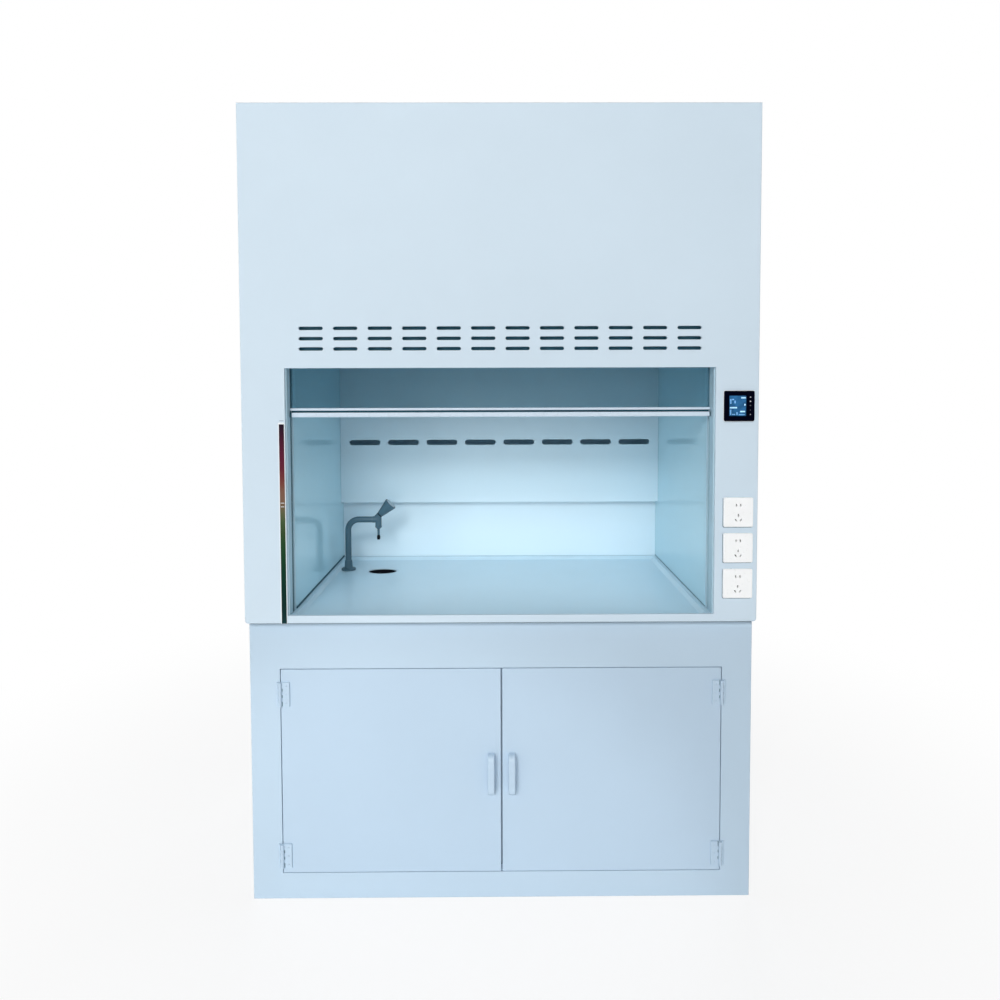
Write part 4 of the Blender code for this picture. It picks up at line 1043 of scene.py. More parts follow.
def build_wall_seals():
    """Sealant along the feet of the liners: the left bead is bigger and darker than the right, painted
    shade at the left foot.
    """
    depths = np.linspace(low("left_inner_liner", "y") + 0.001, LOWER_BAFFLE_Y - 0.0005, 40)
    # dark left and grey right materials: painted shade, darker on the shaded left
    for (side, sign), profile, material in zip(SIDES, (LEFT_SEALANT, RIGHT_SEALANT),
                                               ("rubber_and_painted_shade", "grey_painted_shade")):
        rings = [[(sign * (WALL_IN + 0.0005 - reach), y, CURB_Z + 0.0001 + height)
                  for reach, height in profile] for y in depths]
        add_piece("wall_seal_" + side, skin(rings), material, "pp_lining")


build_guides()
build_wall_seals()
# a deflector stands behind the ventilation slots, between the guides; its dark colour is painted shade, so
# the slots read dark
add_piece("bypass_deflector", slab([round_rect(-0.6190, 0.6190, VENT_Z - 0.044, VENT_Z + 0.046, 0.003, 3)],
                                   "y", -0.4045, -0.4025, 0.0006, 0.0006),
          "deflector_painted_shade", "pp_sheet")


# ---------------------------------------------------------------- fittings on the fascia
def add_marks(name, outlines, front, back, material, slot):
    """Thin printed shapes as one piece."""
    shape = bmesh.new()
    for outline in outlines:
        slab([outline], "y", front, back, 0.0001, 0.0, 2, shape)
    add_piece(name, shape, material, slot)


# plain bars and blocks: left, right, low, high as shares of the screen
BRIGHT_MARKS = ((0.70, 0.97, 0.86, 0.93), (0.04, 0.46, 0.375, 0.445),
                (0.64, 0.93, 0.185, 0.255), (0.88, 0.96, 0.51, 0.60))
SOFT_MARKS = ((0.05, 0.13, 0.60, 0.84), (0.16, 0.28, 0.78, 0.84), (0.30, 0.38, 0.62, 0.76),
              (0.05, 0.12, 0.06, 0.32), (0.42, 0.50, 0.06, 0.19), (0.16, 0.36, 0.06, 0.10),
              (0.56, 0.92, 0.05, 0.09))
# distance below the display's top edge, half size
BRIGHT_KEYS = ((0.0186, 0.0016), (0.0307, 0.0018), (0.0683, 0.0013))
DIM_KEYS = ((0.0426, 0.0018), (0.0558, 0.0012))


def build_display():
    node, slot = "display_controller", "display_black"
    x0, x1 = span(node, "x")
    half = (x1 - x0) / 2
    face, rear = span(node, "y")
    left, top = PANEL_X - half, DISPLAY_Z + half
    screen_x, screen_z = left + 0.0142, DISPLAY_Z - half + 0.0150
    screen_w, screen_h = left + 0.0636 - screen_x, top - 0.0140 - screen_z

    def screen(x0, x1, z0, z1, margin=0.0, r=0.0008):
        """An outline given in shares of the screen."""
        return round_rect(screen_x + screen_w * x0 + margin, screen_x + screen_w * x1 - margin,
                          screen_z + screen_h * z0 + margin, screen_z + screen_h * z1 - margin,
                          r, 3)

    def centred(size, r, steps=6):
        return square(PANEL_X, DISPLAY_Z, size, r, steps)

    bezel = slab([centred(half, 0.0045), screen(0, 1, 0, 1, r=0.0010)], "y", face, SKIN_Y,
                 [0.0022, 0.0006], 0.0, 4)
    add_piece("display_bezel", bezel, "display_bezel", slot, node)
    add_piece("display_case", slab([centred(0.039, 0.003, 5)], "y", SKIN_Y + 0.0002, rear,
                                   0.0, 0.0015), "cable_sheath", slot)
    lcd_y = face + 0.0012
    add_piece("display_lcd", slab([screen(0, 1, 0, 1, margin=0.0003)], "y", lcd_y,
                                  lcd_y + 0.0030, 0.0002), "display_lcd", slot)
    for name, marks, material in (("display_marks", BRIGHT_MARKS, "display_lcd_segments"),
                                  ("display_marks_soft", SOFT_MARKS, "display_lcd_segments_soft")):
        add_marks(name, [screen(*mark) for mark in marks], lcd_y - 0.0002, lcd_y - 0.00002,
                  material, slot)
    for tag, keys in (("bright", BRIGHT_KEYS), ("dim", DIM_KEYS)):
        outlines = [square(left + 0.0752, top - down, r, r * 0.7, 4) for down, r in keys]
        add_marks("display_keys_" + tag, outlines, face - 0.00015, face - 0.00001,
                  "touch_mark_" + tag, slot)
    # thin pale gasket round the bezel
    loops = [centred(half + 0.0016, 0.0060), centred(half - 0.0010, 0.0035)]
    add_piece("display_gasket", slab(loops, "y", SKIN_Y - 0.0012, SKIN_Y + 0.0001, [0.0006, 0.0]),
              "label_white", slot)


def tilted_slot(cx, cz, length, width, angle):
    c, s = cos(radians(angle)), sin(radians(angle))
    loop = round_rect(-width / 2, width / 2, -length / 2, length / 2, 0.0007, 3)
    return [(cx + x * c - z * s, cz + x * s + z * c) for x, z in loop]


# x and z from the outlet's centre, length, width, tilt in degrees
OUTLET_SLOTS = ((-0.0061, 0.0210, 0.0076, 0.0036, 0), (0.0063, 0.0210, 0.0076, 0.0036, 0),
                (0.0, -0.0084, 0.0078, 0.0036, 0), (-0.0071, -0.0224, 0.0082, 0.0034, 32),
                (0.0071, -0.0224, 0.0082, 0.0034, -32))


def build_outlet(node, cz):
    """A slotted plate on the fascia, a near-black core behind it as painted shade in the slots, and a thin
    dark rim below and left of the plate as painted shadow.
    """
    slot = "socket_white"
    half = (high(node, "x") - low(node, "x")) / 2
    face, rear = span(node, "y")
    holes = [tilted_slot(PANEL_X + dx, cz + dz, *size) for dx, dz, *size in OUTLET_SLOTS]
    shape = slab([square(PANEL_X, cz, half, 0.0040, 6)] + holes, "y", face, SKIN_Y,
                 [0.0024] + [0.0004] * 5, [0.0004] + [0.0] * 5, 5)
    add_piece(node + "_plate", shape, "socket_white", slot, node)
    # near-black core: painted shade seen through the slots
    core = slab([square(PANEL_X, cz, 0.033, 0.003)], "y", SKIN_Y + 0.0002, rear, 0.0, 0.0015)
    add_piece(node + "_core", core, "socket_core", slot)
    # dark rim showing below and left of the plate: painted shadow of the plate
    loops = [round_rect(PANEL_X - half - 0.0007, PANEL_X + half - 0.0010,
                        cz - half - 0.0021, cz + half - 0.0010, 0.0040, 6),
             square(PANEL_X, cz, 0.035, 0.0030, 4)]
    add_piece(node + "_gasket", slab(loops, "y", SKIN_Y - 0.0016, SKIN_Y + 0.0001, [0.0005, 0.0]),
              "outlet_painted_shadow", slot)


def build_height_strip():
    """The graded print on a white label, with two marks across it and one above."""
    node = slot = "sash_height_strip", "height_strip"
    node, slot = node
    x0, x1, z0, z1 = area(node, "xz")
    face = low(node, "y")
    label = round_rect(x0 - 0.0030, x1 + 0.0018, z0 + 0.0005, z1 + 0.0050, 0.0025, 4)
    add_piece("strip_label", slab([label], "y", SKIN_Y - 0.0005, SKIN_Y, 0.0002),
              "label_white", slot)
    print_loop = round_rect(x0, x1, z0 + 0.0010, z1, 0.0008, 3)
    add_piece("strip_print", slab([print_loop], "y", face, SKIN_Y - 0.0006, 0.0006),
              "height_strip_print", slot, node)
    outlines = [round_rect(x0 + 0.0022, x1 - 0.0018, z - 0.0007, z + 0.0007, 0.0004, 2)
                for z in (1.2056, 1.1948)]
    add_marks("strip_marks", outlines, face - 0.0002, face - 0.00001, "label_white", slot)
    mark = round_rect(x0 + 0.0008, x1 - 0.0008, z1 + 0.0090, z1 + 0.0112, 0.0006, 2)
    add_piece("strip_top_mark", slab([mark], "y", SKIN_Y - 0.0003, SKIN_Y, 0.0001),
              "printed_mark", slot)


def build_wiring():
    """Up behind the fascia, in through the right liner and down to the lamp."""
    path = round_path([(0.700, -0.3708, 0.935), (0.700, -0.3708, 2.170),
                       (0.700, LOOM_PASS_Y, LOOM_PASS_Z), (0.560, LOOM_PASS_Y, LOOM_PASS_Z),
                       (0.420, -0.250, 2.150), (0.420, -0.250, 2.060 + GAP)], 0.020, 8)
    add_piece("wiring_loom_sheath", tube(along(path, 0.02), 0.0050, 20), "cable_sheath",
              "cable_black", "wiring_loom")


build_display()
for socket, socket_z in SOCKETS.items():
    build_outlet(socket, socket_z)
build_height_strip()
build_wiring()


# ---------------------------------------------------------------- sash
def build_rail():
    """The handle rail: a front groove lined with a dark strip that is painted shade, and an upper groove
    for the glass.
    """
    half = high("sash_handle_rail", "x")
    glass0, glass1 = SASH_Y - 0.003, SASH_Y + 0.003
    lip, groove_top, top = RAIL_Z + 0.0137, RAIL_Z + 0.0197, RAIL_Z + 0.0267
    outline = fillet([(-0.3625, RAIL_Z), (-0.3920, RAIL_Z), (-0.3920, lip), (-0.3800, lip),
                      (-0.3800, groove_top), (-0.3900, groove_top), (-0.3900, top),
                      (glass0, top), (glass0, RAIL_Z + 0.0100), (glass1, RAIL_Z + 0.0100),
                      (glass1, top), (-0.3625, top)],
                     [0.0016, 0.0030, 0.0020, 0.0012, 0.0012, 0.0018, 0.0020, 0.0004, 0.0002,
                      0.0002, 0.0004, 0.0016])
    add_piece("sash_rail", slab([outline], "x", -half, half, 0.0004, 0.0004), "pp_rail",
              "pp_sheet", "sash_handle_rail", "sash")
    # dark strip in the front groove: painted shade
    groove_shade = round_rect(-half + 0.002, half - 0.002, RAIL_Z + 0.0139, RAIL_Z + 0.0195, 0.0006, 2)
    add_piece("sash_rail_groove_shade", slab([groove_shade], "y", -0.3822, -0.3801, 0.0004), "rubber_and_painted_shade",
              "pp_sheet", body="sash")
    for side, x0, x1 in (("left", -half - 0.0003, -half + 0.0052),
                         ("right", half - 0.0026, half + 0.0003)):
        pad = round_rect(x0, x1, RAIL_Z - 0.0002, RAIL_Z + 0.0139, 0.0010, 3)
        add_piece("sash_rail_pad_" + side, slab([pad], "y", -0.3923, -0.3640, 0.0006, 0.0004),
                  "rubber_and_painted_shade", "pp_sheet", body="sash")


def build_pane():
    shape = slab([rect(*area("sash_glass", "xz"))], "y", *span("sash_glass", "y"), 0.0006, 0.0006)
    for face in shape.faces:
        face.normal_update()
        face.material_index = 0 if abs(face.normal.y) > 0.99 else 1
    add_piece("sash_pane", shape, "sash_glass sash_glass_edge", "sash_glass", "sash_glass", "sash")


def build_top_channel():
    """An aluminium channel over the top of the glass."""
    half, outer, inner = high("sash_top_rail", "x"), 0.0048, 0.0030
    bottom, web = SASH_TOP - 0.020, SASH_TOP - 0.005
    outline = fillet([(SASH_Y - outer, bottom), (SASH_Y - outer, SASH_TOP),
                      (SASH_Y + outer, SASH_TOP), (SASH_Y + outer, bottom),
                      (SASH_Y + inner, bottom), (SASH_Y + inner, web),
                      (SASH_Y - inner, web), (SASH_Y - inner, bottom)],
                     [0.0005, 0.0012, 0.0012, 0.0005, 0.0003, 0.0003, 0.0003, 0.0003], 3)
    add_piece("sash_channel", slab([outline], "x", -half, half, 0.0003, 0.0003),
              "anodised_aluminium", "aluminium_trim", "sash_top_rail", "sash")


build_rail()
build_pane()
build_top_channel()

# ---------------------------------------------------------------- sash balance
SHEAVE = fillet([(0.0045, -0.004), (0.0105, -0.004), (0.0105, -0.0030), (0.0255, -0.0030),
                 (0.0255, -0.004), (0.0295, -0.004), (0.0295, -0.0030), (0.0243, -0.0012),
                 (0.0243, 0.0012), (0.0295, 0.0030), (0.0295, 0.004), (0.0255, 0.004),
                 (0.0255, 0.0030), (0.0105, 0.0030), (0.0105, 0.004), (0.0045, 0.004)],
                [0.0003] * 7 + [0.0010, 0.0010] + [0.0003] * 7, 3)
WEIGHT_CLAMP = [(0.0016, 0.0), (0.0042, 0.0), (0.0048, 0.0008), (0.0048, 0.0100),
                (0.0030, 0.0120), (0.0016, 0.0120)]
SASH_CLAMP = [(0.0016, 0.0), (0.0036, 0.0), (0.0040, 0.0006), (0.0040, 0.0090),
              (0.0028, 0.0105), (0.0016, 0.0105)]


def build_balance(side, sign):
    """Two sheaves, a cable in three parts and a counterweight."""
    front = Vector((sign * CABLE_FRONT[0], CABLE_FRONT[1]))
    rear = Vector((sign * CABLE_REAR[0], CABLE_REAR[1]))
    way, reach = (rear - front).normalized(), (rear - front).length
    weight = side + "_counterweight"
    weight_top = high(weight, "z")

    def at(distance, z):
        return Vector((front.x + way.x * distance, front.y + way.y * distance, z))

    for end, distance in (("front", PULLEY_R), ("rear", reach - PULLEY_R)):
        sheave = lathe(SHEAVE, 72, at(distance, PULLEY_Z), (way.y, -way.x, 0), around=True)
        add_piece(side + "_" + end + "_sheave", sheave, "nylon", "nylon_pulley",
                  side + "_" + end + "_pulley", side + "_" + end + "_pulley")

    quarter = np.linspace(0, pi / 2, 17)
    over = [at(0, PULLEY_Z)]
    over += [at(PULLEY_R - PULLEY_R * cos(t), PULLEY_Z + PULLEY_R * sin(t)) for t in quarter[1:]]
    over += [at(reach - PULLEY_R + PULLEY_R * sin(t), PULLEY_Z + PULLEY_R * cos(t))
             for t in quarter]
    add_piece(side + "_cable_over", tube(along(over, 0.02), CABLE_R, 12), "cable_steel",
              "stainless", side + "_cable")
    # the hanging runs stretch between the pulley and what they carry
    top = PULLEY_Z - 0.0002
    for end, distance, bottom, count, carried in (("front", 0, SASH_TOP + 0.0005, 24, "sash"),
                                                  ("rear", reach, weight_top + 0.0005, 48, weight)):
        run = [at(distance, z) for z in np.linspace(bottom, top, count)]
        obj = add_piece(side + "_cable_" + end, tube(run, CABLE_R, 12), "cable_steel",
                        "stainless", side + "_cable", None)
        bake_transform(obj)

    bar = slab([round_rect(*area(weight, "xy"), 0.004)], "z", *span(weight, "z"), 0.003, 0.003, 4)
    add_piece(side + "_weight_bar", bar, "painted_iron", "counterweight_iron", weight, weight)
    add_piece(side + "_cable_clamp",
              lathe(WEIGHT_CLAMP, 32, (rear.x, rear.y, weight_top + 0.0002), around=True),
              "screw_steel", "stainless", body=weight)
    add_piece(side + "_sash_clamp",
              lathe(SASH_CLAMP, 32, (front.x, front.y, SASH_TOP + 0.0002), around=True),
              "screw_steel", "aluminium_trim", body="sash")


for side_name, side_sign in SIDES:
    build_balance(side_name, side_sign)


# ---------------------------------------------------------------- base cabinet
def build_base_walls():
    deck_z, back_y = high("base_floor", "z"), low("base_back", "y")
    for side, sign in SIDES:
        node = "base_" + side + "_side"
        outer, inner = span(node, "x")[::-sign]
        front, rear = span(node, "y")
        panel("base_wall_" + side, node, "x", "pp_casing", "pp_sheet", (0.0010, 0.0006),
              flip=sign > 0)
        side_seams("weld_base_" + side + "_%s", sign, outer, rear + 0.0002, front - 0.0002,
                   0.004, HOOD_LOW - 0.005)
        corner_bead("weld_base_floor_" + side, (inner, front + 0.03, deck_z),
                    (inner, rear - 0.004, deck_z), (-sign, 0, 0), (0, 0, 1))
        corner_bead("weld_base_back_" + side, (inner, back_y, deck_z + 0.004),
                    (inner, back_y, HOOD_LOW - 0.012), (-sign, 0, 0), (0, -1, 0))


def build_deck():
    """The cabinet floor with three feet running from side to side."""
    (x0, x1), (y0, y1) = span("base_floor", "x"), span("base_floor", "y")
    top, under, foot = high("base_floor", "z"), 0.064, 0.020
    outline = [(y0, top), (y0, 0.0), (y0 + foot, 0.0), (y0 + foot, under), (-foot / 2, under),
               (-foot / 2, 0.0), (foot / 2, 0.0), (foot / 2, under), (y1 - foot, under),
               (y1 - foot, 0.0), (y1, 0.0), (y1, top)]
    add_piece("base_deck", slab([fillet(outline, 0.0010, 3)], "x", x0, x1, 0.0005, 0.0005),
              "pp_base", "pp_sheet", "base_floor")
    back_y = low("base_back", "y")
    corner_bead("weld_base_floor_rear", (x0 + 0.005, back_y, top), (x1 - 0.005, back_y, top),
                (0, -1, 0), (0, 0, 1))


def build_base_frame():
    """A front frame whose door opening has a stepped rebate."""
    rebate_y = BASE_FRONT + DOOR_T + 0.001
    back, top = high("base_front_frame", "y"), high("base_front_frame", "z")
    shape = bmesh.new()

    def outer(inward):
        return round_rect(-BASE_OUT + inward, BASE_OUT - inward, inward, top - inward, 0.0012, 3)

    def opening(grow):
        return round_rect(-DOOR_EDGE - grow, DOOR_EDGE + grow, DOOR_LOW - grow, DOOR_TOP + grow,
                          0.0016, 3)

    clearance, step, soft = 0.002, -0.013, 0.0006
    outer_rim, hole_rim = 0.0030, 0.0012
    levels = [(outer(outer_rim * (1 - cos(radians(t)))),
               BASE_FRONT + outer_rim * (1 - sin(radians(t)))) for t in (90, 60, 30, 0)]
    levels += [(outer(0), back - soft), (outer(soft), back), (opening(step + soft), back),
               (opening(step), back - soft), (opening(step), rebate_y + soft),
               (opening(step + soft), rebate_y), (opening(clearance - 0.0004), rebate_y),
               (opening(clearance), rebate_y - 0.0004)]
    levels += [(opening(clearance + hole_rim * (1 - cos(radians(t)))),
                BASE_FRONT + hole_rim * (1 - sin(radians(t)))) for t in (0, 30, 60, 90)]
    join_all(shape, [flat_ring(shape, loop, "y", y) for loop, y in levels], around=True)
    add_piece("base_frame", shape, "pp_base", "pp_sheet", "base_front_frame")


build_base_walls()
panel("base_rear", "base_back", "y", "pp_casing", "pp_sheet", (0.0030, 0.0, 4), flip=True)
build_deck()
build_base_frame()
post = round_rect(-0.0220, 0.0220, DOOR_LOW + 0.0135, DOOR_TOP - 0.0135, 0.0010, 2)
post_y = BASE_FRONT + DOOR_T + 0.0045
add_piece("base_centre_post", slab([post], "y", post_y, post_y + 0.0060, 0.0010, 0.0010),
          "pp_base", "pp_sheet")
# a dark strip where the hood's lower edge sits over the base: painted shadow of the hood's overhang
strip = round_rect(-BASE_OUT + 0.004, BASE_OUT - 0.004, HOOD_LOW - 0.0092, HOOD_LOW - 0.0004,
                   0.0006, 2)
add_piece("plinth_shadow_strip", slab([strip], "y", BASE_FRONT - 0.0022, BASE_FRONT - 0.0002, 0.0006),
          "overhang_painted_shadow", "pp_sheet")


# ---------------------------------------------------------------- doors, pulls and hinges
def knuckle_spans(owner):
    """Start and end along the pin of an owner's knuckles, from the far end down."""
    spans, end = [], HINGE_H / 2
    for who, length in KNUCKLES:
        if who == owner:
            spans.append((end - length, end))
        end -= length + KNUCKLE_GAP
    return spans


def hinge_leaf(sign, mid_z, owner):
    """One leaf of a pinned butt hinge; the pin belongs to the frame's leaf."""
    shape = bmesh.new()
    on_door = owner == "door"
    inward = 1 if on_door else -1
    start, far = (0.0078, LEAF_DOOR) if on_door else (0.0065, LEAF_FRAME)
    curve_count, bore_count, chamfer = 28, 24, 0.0012

    def vert(across, proud, height):
        """across runs from the pin to the door, height along the pin."""
        return shape.verts.new((sign * (HINGE_X - across), BASE_FRONT - proud,
                                mid_z - sign * height))

    root, tip, soft = start * inward, far * inward, (far - chamfer) * inward
    back, face = GAP, GAP + LEAF_T
    spans = knuckle_spans(owner)[::-1]
    levels = sorted({-HINGE_H / 2, HINGE_H / 2, *[v for pair in spans for v in pair]})
    inner = {v: (vert(root, back, v), vert(root, face, v)) for v in levels}
    # the leaf's free edge is chamfered
    edge = {v: (vert(tip, back, v), vert(tip, face - chamfer, v), vert(soft, face, v))
            for v in levels}
    sections = {v: [inner[v][0], *edge[v], inner[v][1]] for v in levels}
    for a, b in zip(levels, levels[1:]):
        if not any(abs(a - pair[0]) < 1e-9 for pair in spans):
            shape.faces.new([inner[a][0], inner[b][0], inner[b][1], inner[a][1]])
        near, next_one = sections[a], sections[b]
        for i in range(4):
            shape.faces.new([near[i], near[i + 1], next_one[i + 1], next_one[i]])
    for v in (levels[0], levels[-1]):
        shape.faces.new(sections[v])

    def pin_ring(r):
        angles = [2 * pi * i / bore_count for i in range(bore_count)]
        return [(r * cos(angle), HINGE_PROUD + r * sin(angle)) for angle in angles]

    angles = np.linspace(radians(-70), -2 * pi + asin((face - HINGE_PROUD) / KNUCKLE_R), curve_count)
    curve = [(inward * KNUCKLE_R * cos(angle), HINGE_PROUD + KNUCKLE_R * sin(angle))
             for angle in angles]
    bore = pin_ring(PIN_BORE if on_door else PIN_R)
    outline = [(root, back)] + curve + [(root, face)]
    bores = []  # the bore's rings at the two ends of each knuckle
    for pair in spans:
        ends = [([inner[v][0]] + [vert(*point, v) for point in curve] + [inner[v][1]],
                 [vert(*point, v) for point in bore]) for v in pair]
        (first, first_bore), (last, last_bore) = ends
        bores.append((first_bore, last_bore))
        for i in range(len(outline) - 1):
            shape.faces.new([first[i], first[i + 1], last[i + 1], last[i]])
        for ring, hole in ends:
            cover(shape, [outline, bore], [ring, hole])
        if on_door:
            join(shape, first_bore, last_bore)
    if not on_door:
        shape.faces.new(bores[0][0])
        for below, above in zip(bores, bores[1:]):
            join(shape, below[1], above[0])
        end = [vert(*point, HINGE_H / 2 - 0.001) for point in pin_ring(PIN_R)]
        join(shape, bores[-1][1], end)
        shape.faces.new(end)
    return shape


def build_pull(cx):
    """A bow handle drawn in side view as (y, z)."""
    base, outer_y = BASE_FRONT - GAP, BASE_FRONT - HANDLE_PROUD
    inner_y, foot, r, inner_r = outer_y + 0.010, 0.017, 0.016, 0.007
    outline = [(base, HANDLE_LOW)]
    outline += arc(outer_y + r, HANDLE_LOW + r, r, 270, 180, 10)
    outline += arc(outer_y + r, HANDLE_TOP - r, r, 180, 90, 10)
    outline += [(base, HANDLE_TOP), (base, HANDLE_TOP - foot)]
    outline += arc(inner_y + inner_r, HANDLE_TOP - foot - inner_r, inner_r, 90, 180, 8)
    outline += arc(inner_y + inner_r, HANDLE_LOW + foot + inner_r, inner_r, 180, 270, 8)
    outline.append((base, HANDLE_LOW + foot))
    return slab([outline], "x", cx - HANDLE_W / 2, cx + HANDLE_W / 2, 0.0032, 0.0032, 5)


def screw_mesh():
    """A domed head with a cross recess, at the origin, facing -Y."""
    profile = fillet([(0.0002, 0.0), (0.0034, 0.0), (0.0034, 0.0004), (0.0018, 0.0011),
                      (0.0002, 0.0012)], [0, 0, 0.0003, 0.001, 0], 3)
    shapes = [lathe(profile, 32, (0, 0, 0), (0, -1, 0))]
    for angle in (25, 115):
        c, s = cos(radians(angle)), sin(radians(angle))
        loop = [(x * c - z * s, x * s + z * c)
                for x, z in rect(-0.0019, 0.0019, -0.00038, 0.00038)]
        shapes.append(slab([loop], "y", -0.0020, -0.0005))
    return boolean("cut", "DIFFERENCE", shapes)


SCREW = screw_mesh()
HINGE_SCREWS = ((-0.026, 0.3), (0.0, 1.1), (0.026, 0.7))  # height from the hinge's middle, turn


def hinge_screws(sign, mid_z):
    shape = bmesh.new()
    for height, turn in HINGE_SCREWS:
        where = Vector((sign * (HINGE_X - 0.0178), BASE_FRONT - GAP - LEAF_T + 0.0002,
                        mid_z + height))
        part = bmesh.new()
        part.from_mesh(SCREW)
        bmesh.ops.transform(part, verts=part.verts[:],
                            matrix=Matrix.Translation(where) @ Matrix.Rotation(turn, 4, "Y"))
        placed = bpy.data.meshes.new("screw")
        part.to_mesh(placed)
        part.free()
        shape.from_mesh(placed)
        bpy.data.meshes.remove(placed)
    return shape


def hinge_shade_pads(sign, mid_z):
    """Small dark pads on the door beside the frame's knuckles: painted shade in the notches of the door's
    leaf.
    """
    shape = bmesh.new()
    x0, x1 = sorted((sign * (HINGE_X - 0.0076), sign * (HINGE_X - 0.0052)))
    for start, end in knuckle_spans("frame"):
        z0, z1 = sorted((mid_z - sign * (end - 0.0006), mid_z - sign * (start + 0.0006)))
        slab([round_rect(x0, x1, z0, z1, 0.0005, 2)], "y", BASE_FRONT - GAP - 0.0026,
             BASE_FRONT - GAP, 0.0004, 0.0, 2, shape)
    return shape


def build_door(side, sign):
    node = side + "_door"
    x0, x1, z0, z1 = area(node, "xz")
    if side == "right":
        x0 += 0.0010
    sheet = slab([round_rect(x0, x1, z0, z1, 0.0016, 3)], "y", *span(node, "y"), 0.0016, 0.0012, 4)
    add_piece(side + "_door_sheet", sheet, "pp_door", "pp_sheet", node, node)
    look = ("pp_moulding", "pp_moulding")  # material and slot
    handle = node + "_handle"
    add_piece(node + "_pull", build_pull(middle(handle, "x")), *look, handle, node)
    for level, z in HINGE_Z.items():
        hinge = side + "_" + level + "_hinge"
        add_piece(hinge + "_leaf", hinge_leaf(sign, z, "door"), *look, hinge + "_door_leaf",
                  node, sharp=35)
        add_piece(hinge + "_knuckles", hinge_leaf(sign, z, "frame"), *look,
                  hinge + "_frame_leaf", sharp=35)
        # dark pads by the knuckles: painted shade
        add_piece(hinge + "_pads", hinge_shade_pads(sign, z), "grey_painted_shade", "pp_moulding", body=node)
        add_piece(hinge + "_screws", hinge_screws(sign, z), *look, body=node, sharp=35)


for side_name, side_sign in SIDES:
    build_door(side_name, side_sign)


# ---------------------------------------------------------------- water tap
def build_tap_foot():
    """The foot, its nuts below the worktop and the supply hose."""
    axis = (TAP_X, TAP_Y, 0)
    profile = fillet([(0.0070, 0.800), (0.0105, 0.800), (0.0105, SEAT_Z), (0.0265, SEAT_Z),
                      (0.0265, SEAT_Z + 0.0062), (0.0150, SEAT_Z + 0.0082), (0.0138, 0.892),
                      (0.0122, 0.900), (0.0075, 0.900)],
                     [0, 0.0004, 0.0004, 0.0008, 0.0026, 0.0050, 0.004, 0.0008, 0], 5)
    add_piece("tap_foot", lathe(profile, 72, axis, around=True), "tap_grey_plastic",
              "tap_plastic", "faucet_base")
    for z in (0.8360, 0.8120):
        profile = [(0.0108, z), (0.0165, z), (0.0185, z + 0.0012), (0.0185, z + 0.0100),
                   (0.0165, z + 0.0112), (0.0108, z + 0.0112)]
        add_piece("tap_nut_%d" % round(z * 1000), lathe(profile, 6, axis, around=True),
                  "tap_grey_plastic", "tap_plastic")
    hose = round_path([(TAP_X, TAP_Y, 0.800 - GAP), (TAP_X, TAP_Y, 0.700),
                       (TAP_X, TAP_Y + 0.140, 0.520), (TAP_X, high("supply_hose", "y"), 0.520)],
                      0.060, 12)
    ribbed = tube(along(hose, 0.0012), lambda i: 0.0061 + 0.0004 * sin(i * 1.05), 24)
    add_piece("tap_hose", ribbed, "hose_grey", "grey_hose", "supply_hose")
    profile = [(0.0066, 0.0), (0.0086, 0.0), (0.0092, 0.0008), (0.0092, 0.0210),
               (0.0086, 0.0218), (0.0066, 0.0218)]
    add_piece("tap_hose_ferrule", lathe(profile, 40, (TAP_X, TAP_Y, 0.776), around=True),
              "screw_steel", "stainless")


